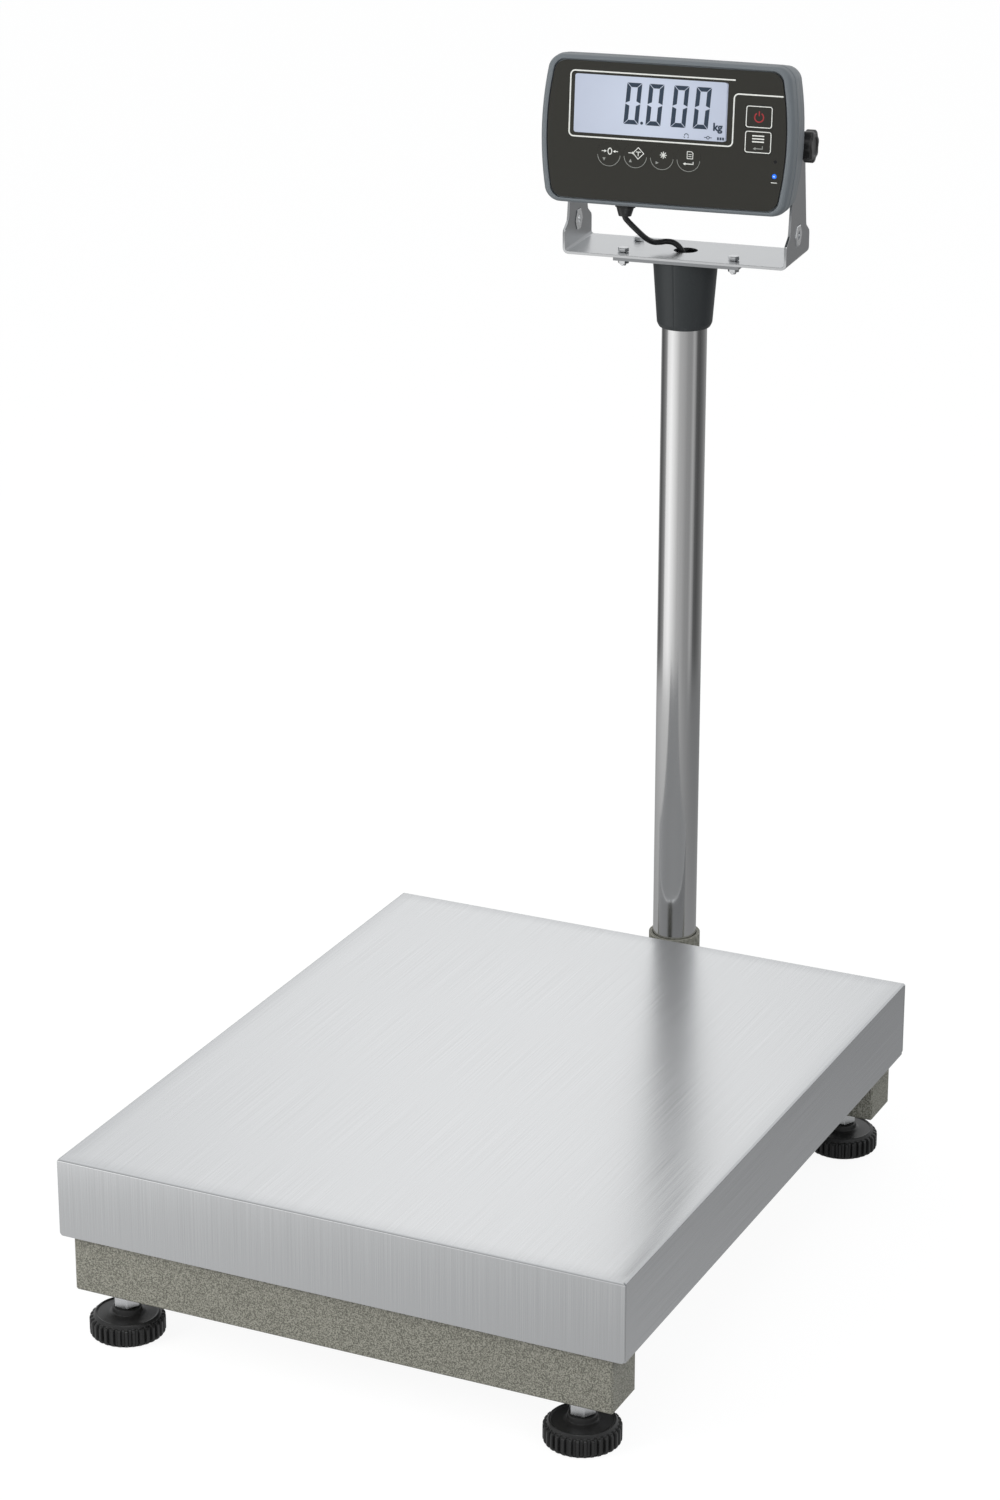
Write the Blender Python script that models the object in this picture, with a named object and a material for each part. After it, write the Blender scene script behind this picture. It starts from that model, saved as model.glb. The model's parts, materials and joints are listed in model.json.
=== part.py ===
"""Bench scale for small animals: steel base on screw feet, load cell, stainless pan, column and
tilting indicator. Metres, +Z up, floor at Z = 0, front towards -Y."""

import math

import bmesh
import bpy
import numpy as np
from mathutils import Matrix, Vector

# ---- driving constants (metres and degrees) ---------------------------------------------------
MM = 0.001
GAP = 0.0003                 # between pieces that touch

PAN_WIDTH = 0.400            # X
PAN_DEPTH = 0.500            # Y
PAN_SKIRT = 0.055
PAN_SHEET = 0.0015
PAN_TOP = 0.127              # height of the weighing surface
PAN_Y = -0.04715             # pan centre, so that the whole object is centred on the origin
BEAM_LENGTH = 0.383
BEAM_DEPTH = 0.035
BEAM_BOTTOM = 0.033
BEAM_TOP = 0.073
BEAM_WALL = 0.003
BEAM_Y = 0.2295              # beam centre line from the pan centre
SPINE_HALF = 0.040
SPINE_TOP = 0.063
FOOT_X = 0.1635
FOOT_RADIUS = 0.025
FOOT_RIBS = 32
HUB_TOP = 0.0202             # of the foot disc
NUT_HEIGHT = 0.0076
COLUMN_Y = 0.3015            # column axis from the pan centre
COLUMN_RADIUS = 0.016
COLUMN_WALL = 0.0015
COLUMN_BOTTOM = 0.0583
COLUMN_TOP = 0.6228
SOCKET_TOP = 0.1115
SWIVEL = 6.0                 # column turned in its socket, degrees
COLLAR_LENGTH = 0.0485
FLANGE_HALF_X = 0.0455
FLANGE_SHEET = 0.003
SPIGOT_LENGTH = 0.045        # of the flange, inside the column tube
BRACKET_Z = COLUMN_TOP + FLANGE_SHEET + 2 * GAP     # underside of the bracket plate
BRACKET_HALF = 0.081
BRACKET_SHEET = 0.002
EAR_STEP = 0.0168            # height of the shoulder of the ears above the plate's underside
INSERT_RISE = 0.0185         # height of the hex inserts in the ears
PIVOT_Z = BRACKET_Z + 0.0814 # tilt axis
TILT = 5.0                   # head leaned back, degrees
FACE_Y = -0.054              # bezel front, from the tilt axis
FACE_Z = 0.0071              # face centre above the tilt axis
FACE_HALF_X = 0.0906
FACE_HALF_Z = 0.0511
FACE_BULGE = (0.0054, 0.0004)    # swell of the left and right sides, and of the top and bottom
FACE_ROUND = 0.012           # outer corner radius, less on the smaller outlines inside it
RIM_X, RIM_Z = 0.0060, 0.0041    # width of the bezel round the printed film
PANEL_HALF_X = FACE_HALF_X - RIM_X
PANEL_HALF_Z = FACE_HALF_Z - RIM_Z
CREASE_Y = -0.0450           # widest line of the bezel
SPLIT_Y = -0.0345            # joint plane between the two housing shells
SHOULDER_Y = -0.0192         # where the rear housing narrows to fit between the ears
REAR_HALF_X = 0.0764
REAR_Y = 0.014
BOARD_Y = -0.0400            # front face of the main board
BOARD_HALF_X = FACE_HALF_X - 0.0116
BOARD_HALF_Z = FACE_HALF_Z - 0.0125
POST_X = BOARD_HALF_X - 0.0050   # posts that carry the board
POST_Z = BOARD_HALF_Z - 0.0050
LCD_U, LCD_V = -0.011, 0.018
LCD_HALF_X, LCD_HALF_Z = 0.05375, 0.01965

ROUND_KEYS = {"key_zero": -0.0398, "key_tare": -0.0209, "key_function": -0.0020,
              "key_print": 0.0169}
ROUND_KEY_V = -0.0154
ROUND_KEY_R = 0.0084
SQUARE_KEYS = {"key_power": 0.0164, "key_mode": -0.0005}
SQUARE_KEY_U = PANEL_HALF_X - 0.0194
LED_U, LED_V = PANEL_HALF_X - 0.0071, -0.0228
GLAND_X, GLAND_Y = -0.035, -0.027    # cable gland under the rear housing, from the tilt axis
GLAND_LENGTH = 0.0110        # below the housing

CELL_LENGTH = 0.130
CELL_WIDTH = 0.030
CELL_HEIGHT = 0.022
SPACER_HEIGHT = 0.006
SPACER_LENGTH = 0.030
CELL_BOTTOM = SPINE_TOP + SPACER_HEIGHT + 2 * GAP
CELL_TOP = CELL_BOTTOM + CELL_HEIGHT
CELL_BOLT_X, CELL_BOLT_Y = 0.008, 0.050
FRAME_BOTTOM = CELL_TOP + SPACER_HEIGHT + 2 * GAP    # load frame
FRAME_HEIGHT = 0.020
FRAME_WALL = 0.003
FLANGE_BOLTS = {"front_left": (-0.040, -0.018), "front_right": (0.040, -0.018),
                "rear_left": (-0.040, 0.018)}

# ---- scene and frames ---------------------------------------------------------------------------
for old in list(bpy.data.objects):
    bpy.data.objects.remove(old, do_unlink=True)


def collection(name, hidden=False):
    """A collection of this name under the scene."""
    made = bpy.data.collections.new(name)
    bpy.context.scene.collection.children.link(made)
    made.hide_render = hidden
    return made


PARTS = collection("animal_weighing_scale")
CUTTERS = collection("cutters", hidden=True)

BASE = Matrix.Translation((0, PAN_Y, 0))
COLUMN = BASE @ Matrix.Translation((0, COLUMN_Y, 0)) @ Matrix.Rotation(math.radians(SWIVEL), 4, "Z")
HEAD = COLUMN @ Matrix.Translation((0, 0, PIVOT_Z)) @ Matrix.Rotation(math.radians(-TILT), 4, "X")


def material(name, colour, roughness, metallic=0.0):
    """A plain Principled material."""
    made = bpy.data.materials.new(name)
    made.use_nodes = True
    shader = made.node_tree.nodes["Principled BSDF"]
    shader.inputs["Base Color"].default_value = (*colour, 1)
    shader.inputs["Roughness"].default_value = roughness
    shader.inputs["Metallic"].default_value = metallic
    made.diffuse_color = (*colour, 1)
    made.roughness = roughness
    made.metallic = metallic
    return made


STAINLESS = material("brushed_stainless", (0.62, 0.63, 0.64), 0.32, 1.0)
POLISHED = material("polished_tube", (0.55, 0.55, 0.56), 0.15, 1.0)
ZINC = material("zinc_plate", (0.58, 0.60, 0.62), 0.30, 1.0)
PAINT = material("textured_paint", (0.27, 0.27, 0.22), 0.65)
ALUMINIUM = material("aluminium", (0.66, 0.67, 0.68), 0.40, 1.0)
BLACK = material("black_plastic", (0.018, 0.018, 0.018), 0.45)
RUBBER = material("rubber", (0.022, 0.022, 0.022), 0.85)
SLATE = material("slate_plastic", (0.055, 0.075, 0.080), 0.50)
HOUSING = material("housing_plastic", (0.17, 0.19, 0.20), 0.45)
PANEL = material("panel_film", (0.060, 0.056, 0.046), 0.50)
KEYPAD = material("key_film", (0.068, 0.064, 0.054), 0.50)
DISPLAY = material("display_glass", (0.50, 0.54, 0.70), 0.18)
BOARD = material("circuit_board", (0.02, 0.16, 0.06), 0.50)
BATTERY = material("battery_case", (0.08, 0.09, 0.12), 0.50)
CABLE = material("cable_jacket", (0.015, 0.015, 0.016), 0.42)
LED = material("blue_led", (0.05, 0.16, 0.85), 0.20)


# ---- shape helpers ------------------------------------------------------------------------------
def finish(name, bm, mat, frame, cutter=False):
    """Turns a bmesh into an object of the model, or into a hidden cutter."""
    bmesh.ops.recalc_face_normals(bm, faces=bm.faces)
    mesh = bpy.data.meshes.new(name)
    bm.to_mesh(mesh)
    bm.free()
    obj = bpy.data.objects.new(name, mesh)
    obj.matrix_world = frame
    if cutter:
        CUTTERS.objects.link(obj)
        obj.hide_render = True
        obj.display_type = "WIRE"
    else:
        PARTS.objects.link(obj)
        obj.data.materials.append(mat)
    return obj


def add_box(bm, x, y, z, bevel=0.0):
    """Adds an axis-aligned box given by its three (low, high) pairs."""
    centre = Vector(((x[0] + x[1]) / 2, (y[0] + y[1]) / 2, (z[0] + z[1]) / 2))
    size = Matrix.Diagonal((x[1] - x[0], y[1] - y[0], z[1] - z[0], 1))
    made = bmesh.ops.create_cube(bm, size=1, matrix=Matrix.Translation(centre) @ size)
    if bevel:
        edges = list({e for v in made["verts"] for e in v.link_edges})
        bmesh.ops.bevel(bm, geom=edges, offset=bevel, segments=1, affect="EDGES")


def box(name, x, y, z, mat, frame, bevel=0.0, cutter=False):
    """A box object."""
    bm = bmesh.new()
    add_box(bm, x, y, z, bevel)
    return finish(name, bm, mat, frame, cutter)


def loft(name, rings, mat, frame, loop=False, cutter=False):
    """Bridges rings of equal point count. Ends are capped, unless the last ring joins the first."""
    bm = bmesh.new()
    rows = [[bm.verts.new(p) for p in ring] for ring in rings]
    pairs = list(zip(rows, rows[1:])) + ([(rows[-1], rows[0])] if loop else [])
    for low, high in pairs:
        count = len(low)
        for i in range(count):
            j = (i + 1) % count
            bm.faces.new((low[i], low[j], high[j], high[i]))
    if not loop:
        bm.faces.new(rows[0])
        bm.faces.new(rows[-1])
    return finish(name, bm, mat, frame, cutter)


def circle(angle):
    """Radius factor of a round section."""
    return 1.0


def hexagon(angle):
    """Radius factor of a hexagon whose half width across flats is 1."""
    return 1 / math.cos((angle % (math.pi / 3)) - math.pi / 6)


def lobes(angle):
    """Radius factor of a grip with seven lobes."""
    return 1 + 0.07 * math.cos(7 * angle)


AXES = {"X": lambda a, b, h: (h, a, b), "Y": lambda a, b, h: (b, h, a), "Z": lambda a, b, h: (a, b, h)}


def turned(name, path, mat, frame, axis="Z", at=(0, 0), count=24, loop=False, cutter=False):
    """A turned piece: path lists (height, radius[, section]); at is its place across the axis."""
    rings = []
    for height, radius, *section in path:
        shape = section[0] if section else circle
        angles = [2 * math.pi * i / count for i in range(count)]
        ring = [(at[0] + radius * shape(t) * math.cos(t), at[1] + radius * shape(t) * math.sin(t))
                for t in angles]
        rings.append([AXES[axis](a, b, height) for a, b in ring])
    return loft(name, rings, mat, frame, loop, cutter)


def prism(name, outline, low, high, axis, mat, frame, cutter=False):
    """An outline drawn across an axis and given a thickness along it."""
    rings = [[AXES[axis](a, b, h) for a, b in outline] for h in (low, high)]
    return loft(name, rings, mat, frame, cutter=cutter)


def rod(name, low, high, radius, frame, axis="Z", at=(0, 0), count=20):
    """A round cutter."""
    return turned(name, [(low, radius), (high, radius)], None, frame, axis, at, count, cutter=True)


def boolean(obj, other, operation="DIFFERENCE"):
    """Adds an exact Boolean modifier."""
    modifier = obj.modifiers.new(other.name, "BOOLEAN")
    modifier.object = other
    modifier.operation = operation
    modifier.solver = "EXACT"


def cut(obj, *others):
    """Cuts the others from the object."""
    for other in others:
        boolean(obj, other)


def join(obj, *others):
    """Joins the others, which are cutters, to the object."""
    for other in others:
        boolean(obj, other, "UNION")


def rounded(half_x, half_y, radius, bulge=(0.0, 0.0), arc=5, side=4):
    """Outline of a rounded rectangle whose sides swell outwards, each pair by its own bulge."""
    a, b = half_x - bulge[0], half_y - bulge[1]
    corners = ((1, 1, 0), (-1, 1, 90), (-1, -1, 180), (1, -1, 270))
    points = []
    for sx, sy, start in corners:
        stretch = [(sx * (a - radius) + radius * math.cos(t), sy * (b - radius) + radius * math.sin(t))
                   for t in np.radians(np.linspace(start, start + 90, arc + 1))]
        points += between(points[-1], stretch[0], side) if points else []
        points += stretch
    points += between(points[-1], points[0], side)
    return [(x * (1 + bulge[0] / a * max(0, 1 - (y / b) ** 2)),
             y * (1 + bulge[1] / b * max(0, 1 - (x / a) ** 2))) for x, y in points]


def between(start, end, count):
    """Evenly spaced points strictly between two others."""
    steps = [(i + 1) / (count + 1) for i in range(count)]
    return [(start[0] + f * (end[0] - start[0]), start[1] + f * (end[1] - start[1])) for f in steps]


# ---- base ---------------------------------------------------------------------------------------
def build_base():
    """Welded frame: two trays that carry the feet, and an inverted channel between them."""
    half = BEAM_LENGTH / 2
    inner = BEAM_DEPTH / 2 - BEAM_WALL
    parts, holes = [], []
    for side, sign in (("front", -1), ("rear", 1)):
        y = sign * BEAM_Y
        parts.append(box(f"beam_{side}", (-half, half), (y - BEAM_DEPTH / 2, y + BEAM_DEPTH / 2),
                         (BEAM_BOTTOM, BEAM_TOP), None, BASE, 1.2 * MM, True))
        holes.append(box(f"beam_space_{side}", (-half + BEAM_WALL, half - BEAM_WALL),
                         (y - inner, y + inner), (BEAM_BOTTOM + BEAM_WALL, BEAM_TOP + 0.01),
                         None, BASE, 0, True))
    reach = BEAM_Y - BEAM_DEPTH / 2 + 0.001
    frame = box("base_frame", (-SPINE_HALF, SPINE_HALF), (-reach, reach),
                (SPINE_TOP - 0.023, SPINE_TOP), PAINT, BASE)
    cut(frame, box("spine_space", (-SPINE_HALF + BEAM_WALL, SPINE_HALF - BEAM_WALL),
                   (-reach - 0.01, reach + 0.01), (0.030, SPINE_TOP - BEAM_WALL), None, BASE, 0, True))
    join(frame, *parts)
    cut(frame, *holes)
    weld_nuts = []
    for x in (-FOOT_X, FOOT_X):
        for y in (-BEAM_Y, BEAM_Y):
            weld_nuts.append(turned(f"weld_nut{x:+.2f}{y:+.2f}", [(0.0355, 8.5 * MM, hexagon),
                             (0.044, 8.5 * MM, hexagon)], None, BASE, at=(x, y), count=12, cutter=True))
            holes.append(rod(f"stem_hole{x:+.2f}{y:+.2f}", 0.02, 0.06, 5.3 * MM, BASE, at=(x, y)))
    join(frame, *weld_nuts)
    cut(frame, *holes[2:])
    cut(frame, rod("cable_way", BEAM_Y - 0.030, BEAM_Y + 0.030, 4.5 * MM, BASE, "Y", (0.048, 0)))
    cut(frame, rod("cable_rise", 0.055, 0.070, 4.5 * MM, BASE, at=(0, 0.095)))
    for x in (-27 * MM, 27 * MM):
        cut(frame, rod(f"socket_hole{x:+.3f}", BEAM_Y + 0.010, BEAM_Y + 0.030, 3.3 * MM, BASE, "Y",
                       (0.054, x)))
    for x in (-CELL_BOLT_X, CELL_BOLT_X):
        cut(frame, rod(f"cell_hole{x:+.3f}", 0.055, 0.070, 3.3 * MM, BASE, at=(x, CELL_BOLT_Y)))
    return frame


def build_socket():
    """Column socket: tube with an inner seat, on an arm and a bolting plate."""
    r, y = 16.5 * MM, COLUMN_Y
    path = [(SOCKET_TOP, r), (SOCKET_TOP, 19 * MM), (0.035, 19 * MM), (0.035, r), (0.052, r),
            (0.052, 12.5 * MM), (0.058, 12.5 * MM), (0.058, r)]
    socket = turned("column_socket", path, PAINT, BASE, at=(0, y), count=40, loop=True)
    face = BEAM_Y + BEAM_DEPTH / 2 + GAP
    join(socket, box("socket_arm", (-20 * MM, 20 * MM), (face + 0.003, y - 0.0170), (0.035, 0.063),
                     None, BASE, 0, True),
         box("socket_plate", (-34 * MM, 34 * MM), (face, face + 0.004), (0.036, 0.070),
             None, BASE, 0, True),
         turned("screw_boss", [(y + 0.018, 7 * MM), (y + 0.0235, 7 * MM)], None, BASE, "Y",
                (0.085, 0), 16, cutter=True))
    cut(socket, box("arm_space", (-17 * MM, 17 * MM), (face + 0.0045, y - 0.0195),
                    (0.030, 0.060), None, BASE, 0, True),
        box("cable_gate", (-6 * MM, 6 * MM), (face - 0.01, y - 0.010), (0.030, 0.0525),
            None, BASE, 0, True),
        rod("screw_way", y + 0.010, y + 0.030, 3.3 * MM, BASE, "Y", (0.085, 0)))
    for x in (-27 * MM, 27 * MM):
        cut(socket, rod(f"plate_hole{x:+.3f}", face - 0.01, face + 0.01, 3.3 * MM, BASE, "Y",
                        (0.054, x)))
    return socket


def hex_bolt(name, seat, length, across, radius, mat, frame, axis="Z", at=(0, 0), out=1, nut=None):
    """A hex bolt: head beyond the seat, shank the other way, and a nut at that distance if any."""
    def h(d):
        return seat + out * d
    a = across / 2
    path = [(h(-length), radius * 0.8), (h(-length + radius * 0.3), radius)]
    if nut:
        path += [(h(-nut - 0.75 * across / 2), radius), (h(-nut - 0.75 * across / 2), a * 0.93, hexagon),
                 (h(-nut - 0.70 * across / 2), a, hexagon), (h(-nut), a, hexagon), (h(-nut), radius)]
    path += [(h(0), radius), (h(0), a, hexagon), (h(0.32 * across), a, hexagon),
             (h(0.38 * across), a * 0.92, hexagon)]
    return turned(name, path, mat, frame, axis, at, 12)


def build_base_fasteners():
    """Bolts of the socket and of the load cell, and the screw that clamps the column."""
    face = BEAM_Y + BEAM_DEPTH / 2 + GAP + 0.004 + GAP
    for side, x in (("left", -27 * MM), ("right", 27 * MM)):
        hex_bolt(f"socket_bolt_{side}", face, 0.0115, 10 * MM, 3 * MM, ZINC, BASE, "Y", (0.054, x))
    hex_bolt("column_clamp_screw", COLUMN_Y + 0.0250, 0.0087, 10 * MM, 3 * MM, ZINC, BASE, "Y",
             (0.085, 0))


def build_foot(corner, x, y):
    """Knurled foot disc, its threaded stem and the lock nut under the beam."""
    at = BASE @ Matrix.Translation((x, y, 0))
    steps = FOOT_RIBS * 4
    outline = []
    for i in range(steps):
        r = FOOT_RADIUS if i % 4 < 2 else FOOT_RADIUS - 1.7 * MM
        t = 2 * math.pi * (i + 0.5) / steps
        outline.append((r * math.cos(t), r * math.sin(t)))
    disc = prism(f"foot_disc_{corner}", outline, 1.2 * MM, 12.8 * MM, "Z", BLACK, at)
    core = turned(f"foot_core_{corner}", [(4 * MM, 5.3 * MM), (HUB_TOP, 5.3 * MM), (HUB_TOP, 9.4 * MM),
                  (16.2 * MM, 9.9 * MM), (15.2 * MM, 12 * MM), (14.7 * MM, 20.2 * MM),
                  (15.5 * MM, 20.6 * MM), (15.3 * MM, 21.4 * MM), (13 * MM, 22.9 * MM),
                  (2 * MM, 22.9 * MM), (0, 22.0 * MM)], None, at, count=24, cutter=True)
    boolean(disc, core, "UNION")
    cut(disc, rod(f"stem_bore_{corner}", 4 * MM, 30 * MM, 5.3 * MM, at))
    turned(f"foot_stem_{corner}", [(4.3 * MM, 4.3 * MM), (5 * MM, 5 * MM), (57 * MM, 5 * MM),
           (58 * MM, 4 * MM)], ZINC, at, count=16)
    low = HUB_TOP + GAP
    high = low + NUT_HEIGHT
    turned(f"foot_lock_nut_{corner}", [(low, 7.6 * MM, hexagon), (low + 0.5 * MM, 8 * MM, hexagon),
           (high - 0.5 * MM, 8 * MM, hexagon), (high, 7.6 * MM, hexagon), (high, 5.3 * MM),
           (low, 5.3 * MM)], ZINC, at, count=12, loop=True)


# ---- load cell and load frame -------------------------------------------------------------------
def build_load_cell():
    """Single-point load cell between two spacers, bolted at each end."""
    half, reach, middle = CELL_WIDTH / 2, CELL_LENGTH / 2, (CELL_BOTTOM + CELL_TOP) / 2
    cell = box("load_cell", (-half, half), (-reach, reach), (CELL_BOTTOM, CELL_TOP), ALUMINIUM, BASE,
               0.5 * MM)
    waist = rod("cell_window_front", -0.02, 0.02, 7 * MM, BASE, "X", (-13 * MM, middle))
    boolean(waist, rod("cell_window_rear", -0.02, 0.02, 7 * MM, BASE, "X", (13 * MM, middle)), "UNION")
    boolean(waist, box("cell_window", (-0.02, 0.02), (-13 * MM, 13 * MM),
                       (middle - 3 * MM, middle + 3 * MM), None, BASE, 0, True), "UNION")
    cut(cell, waist)
    lower = box("cell_spacer_lower", (-half, half), (reach - SPACER_LENGTH, reach),
                (SPINE_TOP + GAP, CELL_BOTTOM - GAP), ZINC, BASE)
    upper = box("cell_spacer_upper", (-half, half), (-reach, SPACER_LENGTH - reach),
                (CELL_TOP + GAP, FRAME_BOTTOM - GAP), ZINC, BASE)
    under, over = SPINE_TOP - BEAM_WALL - GAP, FRAME_BOTTOM + FRAME_WALL + GAP
    for side, x in (("left", -CELL_BOLT_X), ("right", CELL_BOLT_X)):
        cut(cell, rod(f"fixed_hole_{side}", 0.060, middle + 3.4 * MM, 3.3 * MM, BASE, at=(x, CELL_BOLT_Y)),
            rod(f"free_hole_{side}", middle - 0.6 * MM, 0.100, 3.3 * MM, BASE, at=(x, -CELL_BOLT_Y)))
        cut(lower, rod(f"lower_hole_{side}", 0.060, 0.072, 3.3 * MM, BASE, at=(x, CELL_BOLT_Y)))
        cut(upper, rod(f"upper_hole_{side}", 0.090, 0.100, 3.3 * MM, BASE, at=(x, -CELL_BOLT_Y)))
        hex_bolt(f"cell_bolt_fixed_{side}", under, 23 * MM, 10 * MM, 3 * MM, ZINC, BASE,
                 at=(x, CELL_BOLT_Y), out=-1)
        hex_bolt(f"cell_bolt_free_{side}", over, 20 * MM, 10 * MM, 3 * MM, ZINC, BASE,
                 at=(x, -CELL_BOLT_Y))


def build_load_frame():
    """Load frame under the pan: a channel along Y with a closed cross arm at each end."""
    low, high = FRAME_BOTTOM, FRAME_BOTTOM + FRAME_HEIGHT
    frame = box("load_frame", (-30 * MM, 30 * MM), (-0.166, 0.166), (low, high), ZINC, BASE)
    cut(frame, box("rail_space", (-27 * MM, 27 * MM), (-0.17, 0.17), (low + FRAME_WALL, high + 0.01),
                   None, BASE, 0, True))
    for side, sign in (("front", -1), ("rear", 1)):
        y = sign * 0.180
        join(frame, box(f"arm_{side}", (-0.165, 0.165), (y - 0.015, y + 0.015), (low, high), None,
                        BASE, 1 * MM, True))
    for side, sign in (("front", -1), ("rear", 1)):
        y = sign * 0.180
        cut(frame, box(f"arm_space_{side}", (-0.162, 0.162), (y - 0.012, y + 0.012),
                       (low - 0.01, high - FRAME_WALL), None, BASE, 0, True))
        for x in (-0.150, 0.150):
            cut(frame, rod(f"buffer_hole_{side}{x:+.2f}", 0.11, 0.13, 4.3 * MM, BASE, at=(x, y)))
            corner = f"{side}_{'left' if x < 0 else 'right'}"
            seat, top = high + GAP, PAN_TOP - PAN_SHEET - GAP
            turned(f"buffer_{corner}", [(seat - 5.5 * MM, 3.4 * MM), (seat - 4.5 * MM, 4 * MM),
                   (seat, 4 * MM), (seat, 11 * MM), (top - 1.7 * MM, 11 * MM), (top, 9 * MM)], RUBBER,
                   BASE, at=(x, y), count=18)
    for x in (-CELL_BOLT_X, CELL_BOLT_X):
        cut(frame, rod(f"free_way{x:+.3f}", 0.09, 0.11, 3.3 * MM, BASE, at=(x, -CELL_BOLT_Y)))
    return frame


def build_pan():
    """Folded stainless cover: open corners, rounded skirt corners, small bend radius on top."""
    hx, hy, low = PAN_WIDTH / 2, PAN_DEPTH / 2, PAN_TOP - PAN_SKIRT
    bm = bmesh.new()
    add_box(bm, (-hx, hx), (-hy, hy), (low, PAN_TOP))
    top = [e for e in bm.edges if all(v.co.z > low + 0.01 for v in e.verts)]
    bmesh.ops.bevel(bm, geom=top, offset=2 * MM, segments=3, affect="EDGES", profile=0.5)
    pan = finish("weighing_pan", bm, STAINLESS, BASE)
    s = PAN_SHEET
    cut(pan, box("pan_space", (-hx + s, hx - s), (-hy + s, hy - s), (low - 0.01, PAN_TOP - s),
                 None, BASE, 0, True))
    radius = 6 * MM
    for sx in (-1, 1):
        for sy in (-1, 1):
            tag = f"{sx:+d}{sy:+d}"
            slot = sorted((sy * (hy - s), sy * (hy - s - 0.4 * MM)))
            cut(pan, box(f"seam{tag}", sorted((sx * (hx - 3 * MM), sx * (hx + 2 * MM))), slot,
                         (low - 0.01, PAN_TOP - 2.5 * MM), None, BASE, 0, True))
            arc = [(sx * (hx - radius + radius * math.sin(t)), low + radius - radius * math.cos(t))
                   for t in np.linspace(0, math.pi / 2, 6)]
            outline = [(z, x) for x, z in [*arc, (sx * (hx + 2 * MM), low + radius),
                                           (sx * (hx + 2 * MM), low - 2 * MM), (arc[0][0], low - 2 * MM)]]
            skirt = sorted((sy * (hy + 2 * MM), sy * (hy - s - 0.2 * MM)))
            cut(pan, prism(f"corner{tag}", outline, skirt[0], skirt[1], "Y", None, BASE, True))
    return pan


# ---- column and bracket -------------------------------------------------------------------------
def build_column():
    """Stainless tube, tapered collar, bolting flange with its spigot."""
    inner = COLUMN_RADIUS - COLUMN_WALL
    turned("column_tube", [(COLUMN_BOTTOM, inner), (COLUMN_TOP, inner), (COLUMN_TOP, COLUMN_RADIUS),
           (COLUMN_BOTTOM, COLUMN_RADIUS)], POLISHED, COLUMN, count=48, loop=True)
    bore = COLUMN_RADIUS + GAP
    foot = COLUMN_TOP - COLLAR_LENGTH
    turned("column_collar", [(foot, bore), (COLUMN_TOP, bore), (COLUMN_TOP, 23 * MM),
           (COLUMN_TOP - 0.001, 23 * MM), (foot + 0.003, 19.6 * MM), (foot, 18.4 * MM)],
           SLATE, COLUMN, count=40, loop=True)
    low = COLUMN_TOP + GAP
    flange = box("head_flange", (-FLANGE_HALF_X, FLANGE_HALF_X), (-25 * MM, 25 * MM),
                 (low, low + FLANGE_SHEET), ZINC, COLUMN)
    join(flange, turned("spigot", [(low - SPIGOT_LENGTH, 11 * MM), (low + 0.001, 11 * MM),
                        (low + 0.001, inner - GAP), (low - SPIGOT_LENGTH, inner - GAP)], None, COLUMN,
                        count=32, loop=True, cutter=True))
    cut(flange, rod("spigot_bore", low - SPIGOT_LENGTH - 0.005, low + 0.01, 11 * MM, COLUMN, count=32))
    for place, at in FLANGE_BOLTS.items():
        cut(flange, rod(f"flange_hole_{place}", low - 0.01, low + 0.01, 2.3 * MM, COLUMN, at=at,
                        count=16))


def ear_outline():
    """Bracket seen from the side, as (height, depth) points."""
    low, step = BRACKET_Z - 0.001, BRACKET_Z + EAR_STEP
    side = [(low, 0.030), (step - 0.002, 0.030), (step, 0.0292), (step + 0.003, 0.0245),
            (step + 0.005, 0.0215), (step + 0.008, 0.0205), (PIVOT_Z - 0.002, 0.0120)]
    arc = [(PIVOT_Z + 0.0120 * math.cos(t), 0.0120 * math.sin(t)) for t in np.linspace(1.4, -1.4, 11)]
    return [(y, z) for z, y in side + arc + [(z, -y) for z, y in reversed(side)]]


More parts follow.
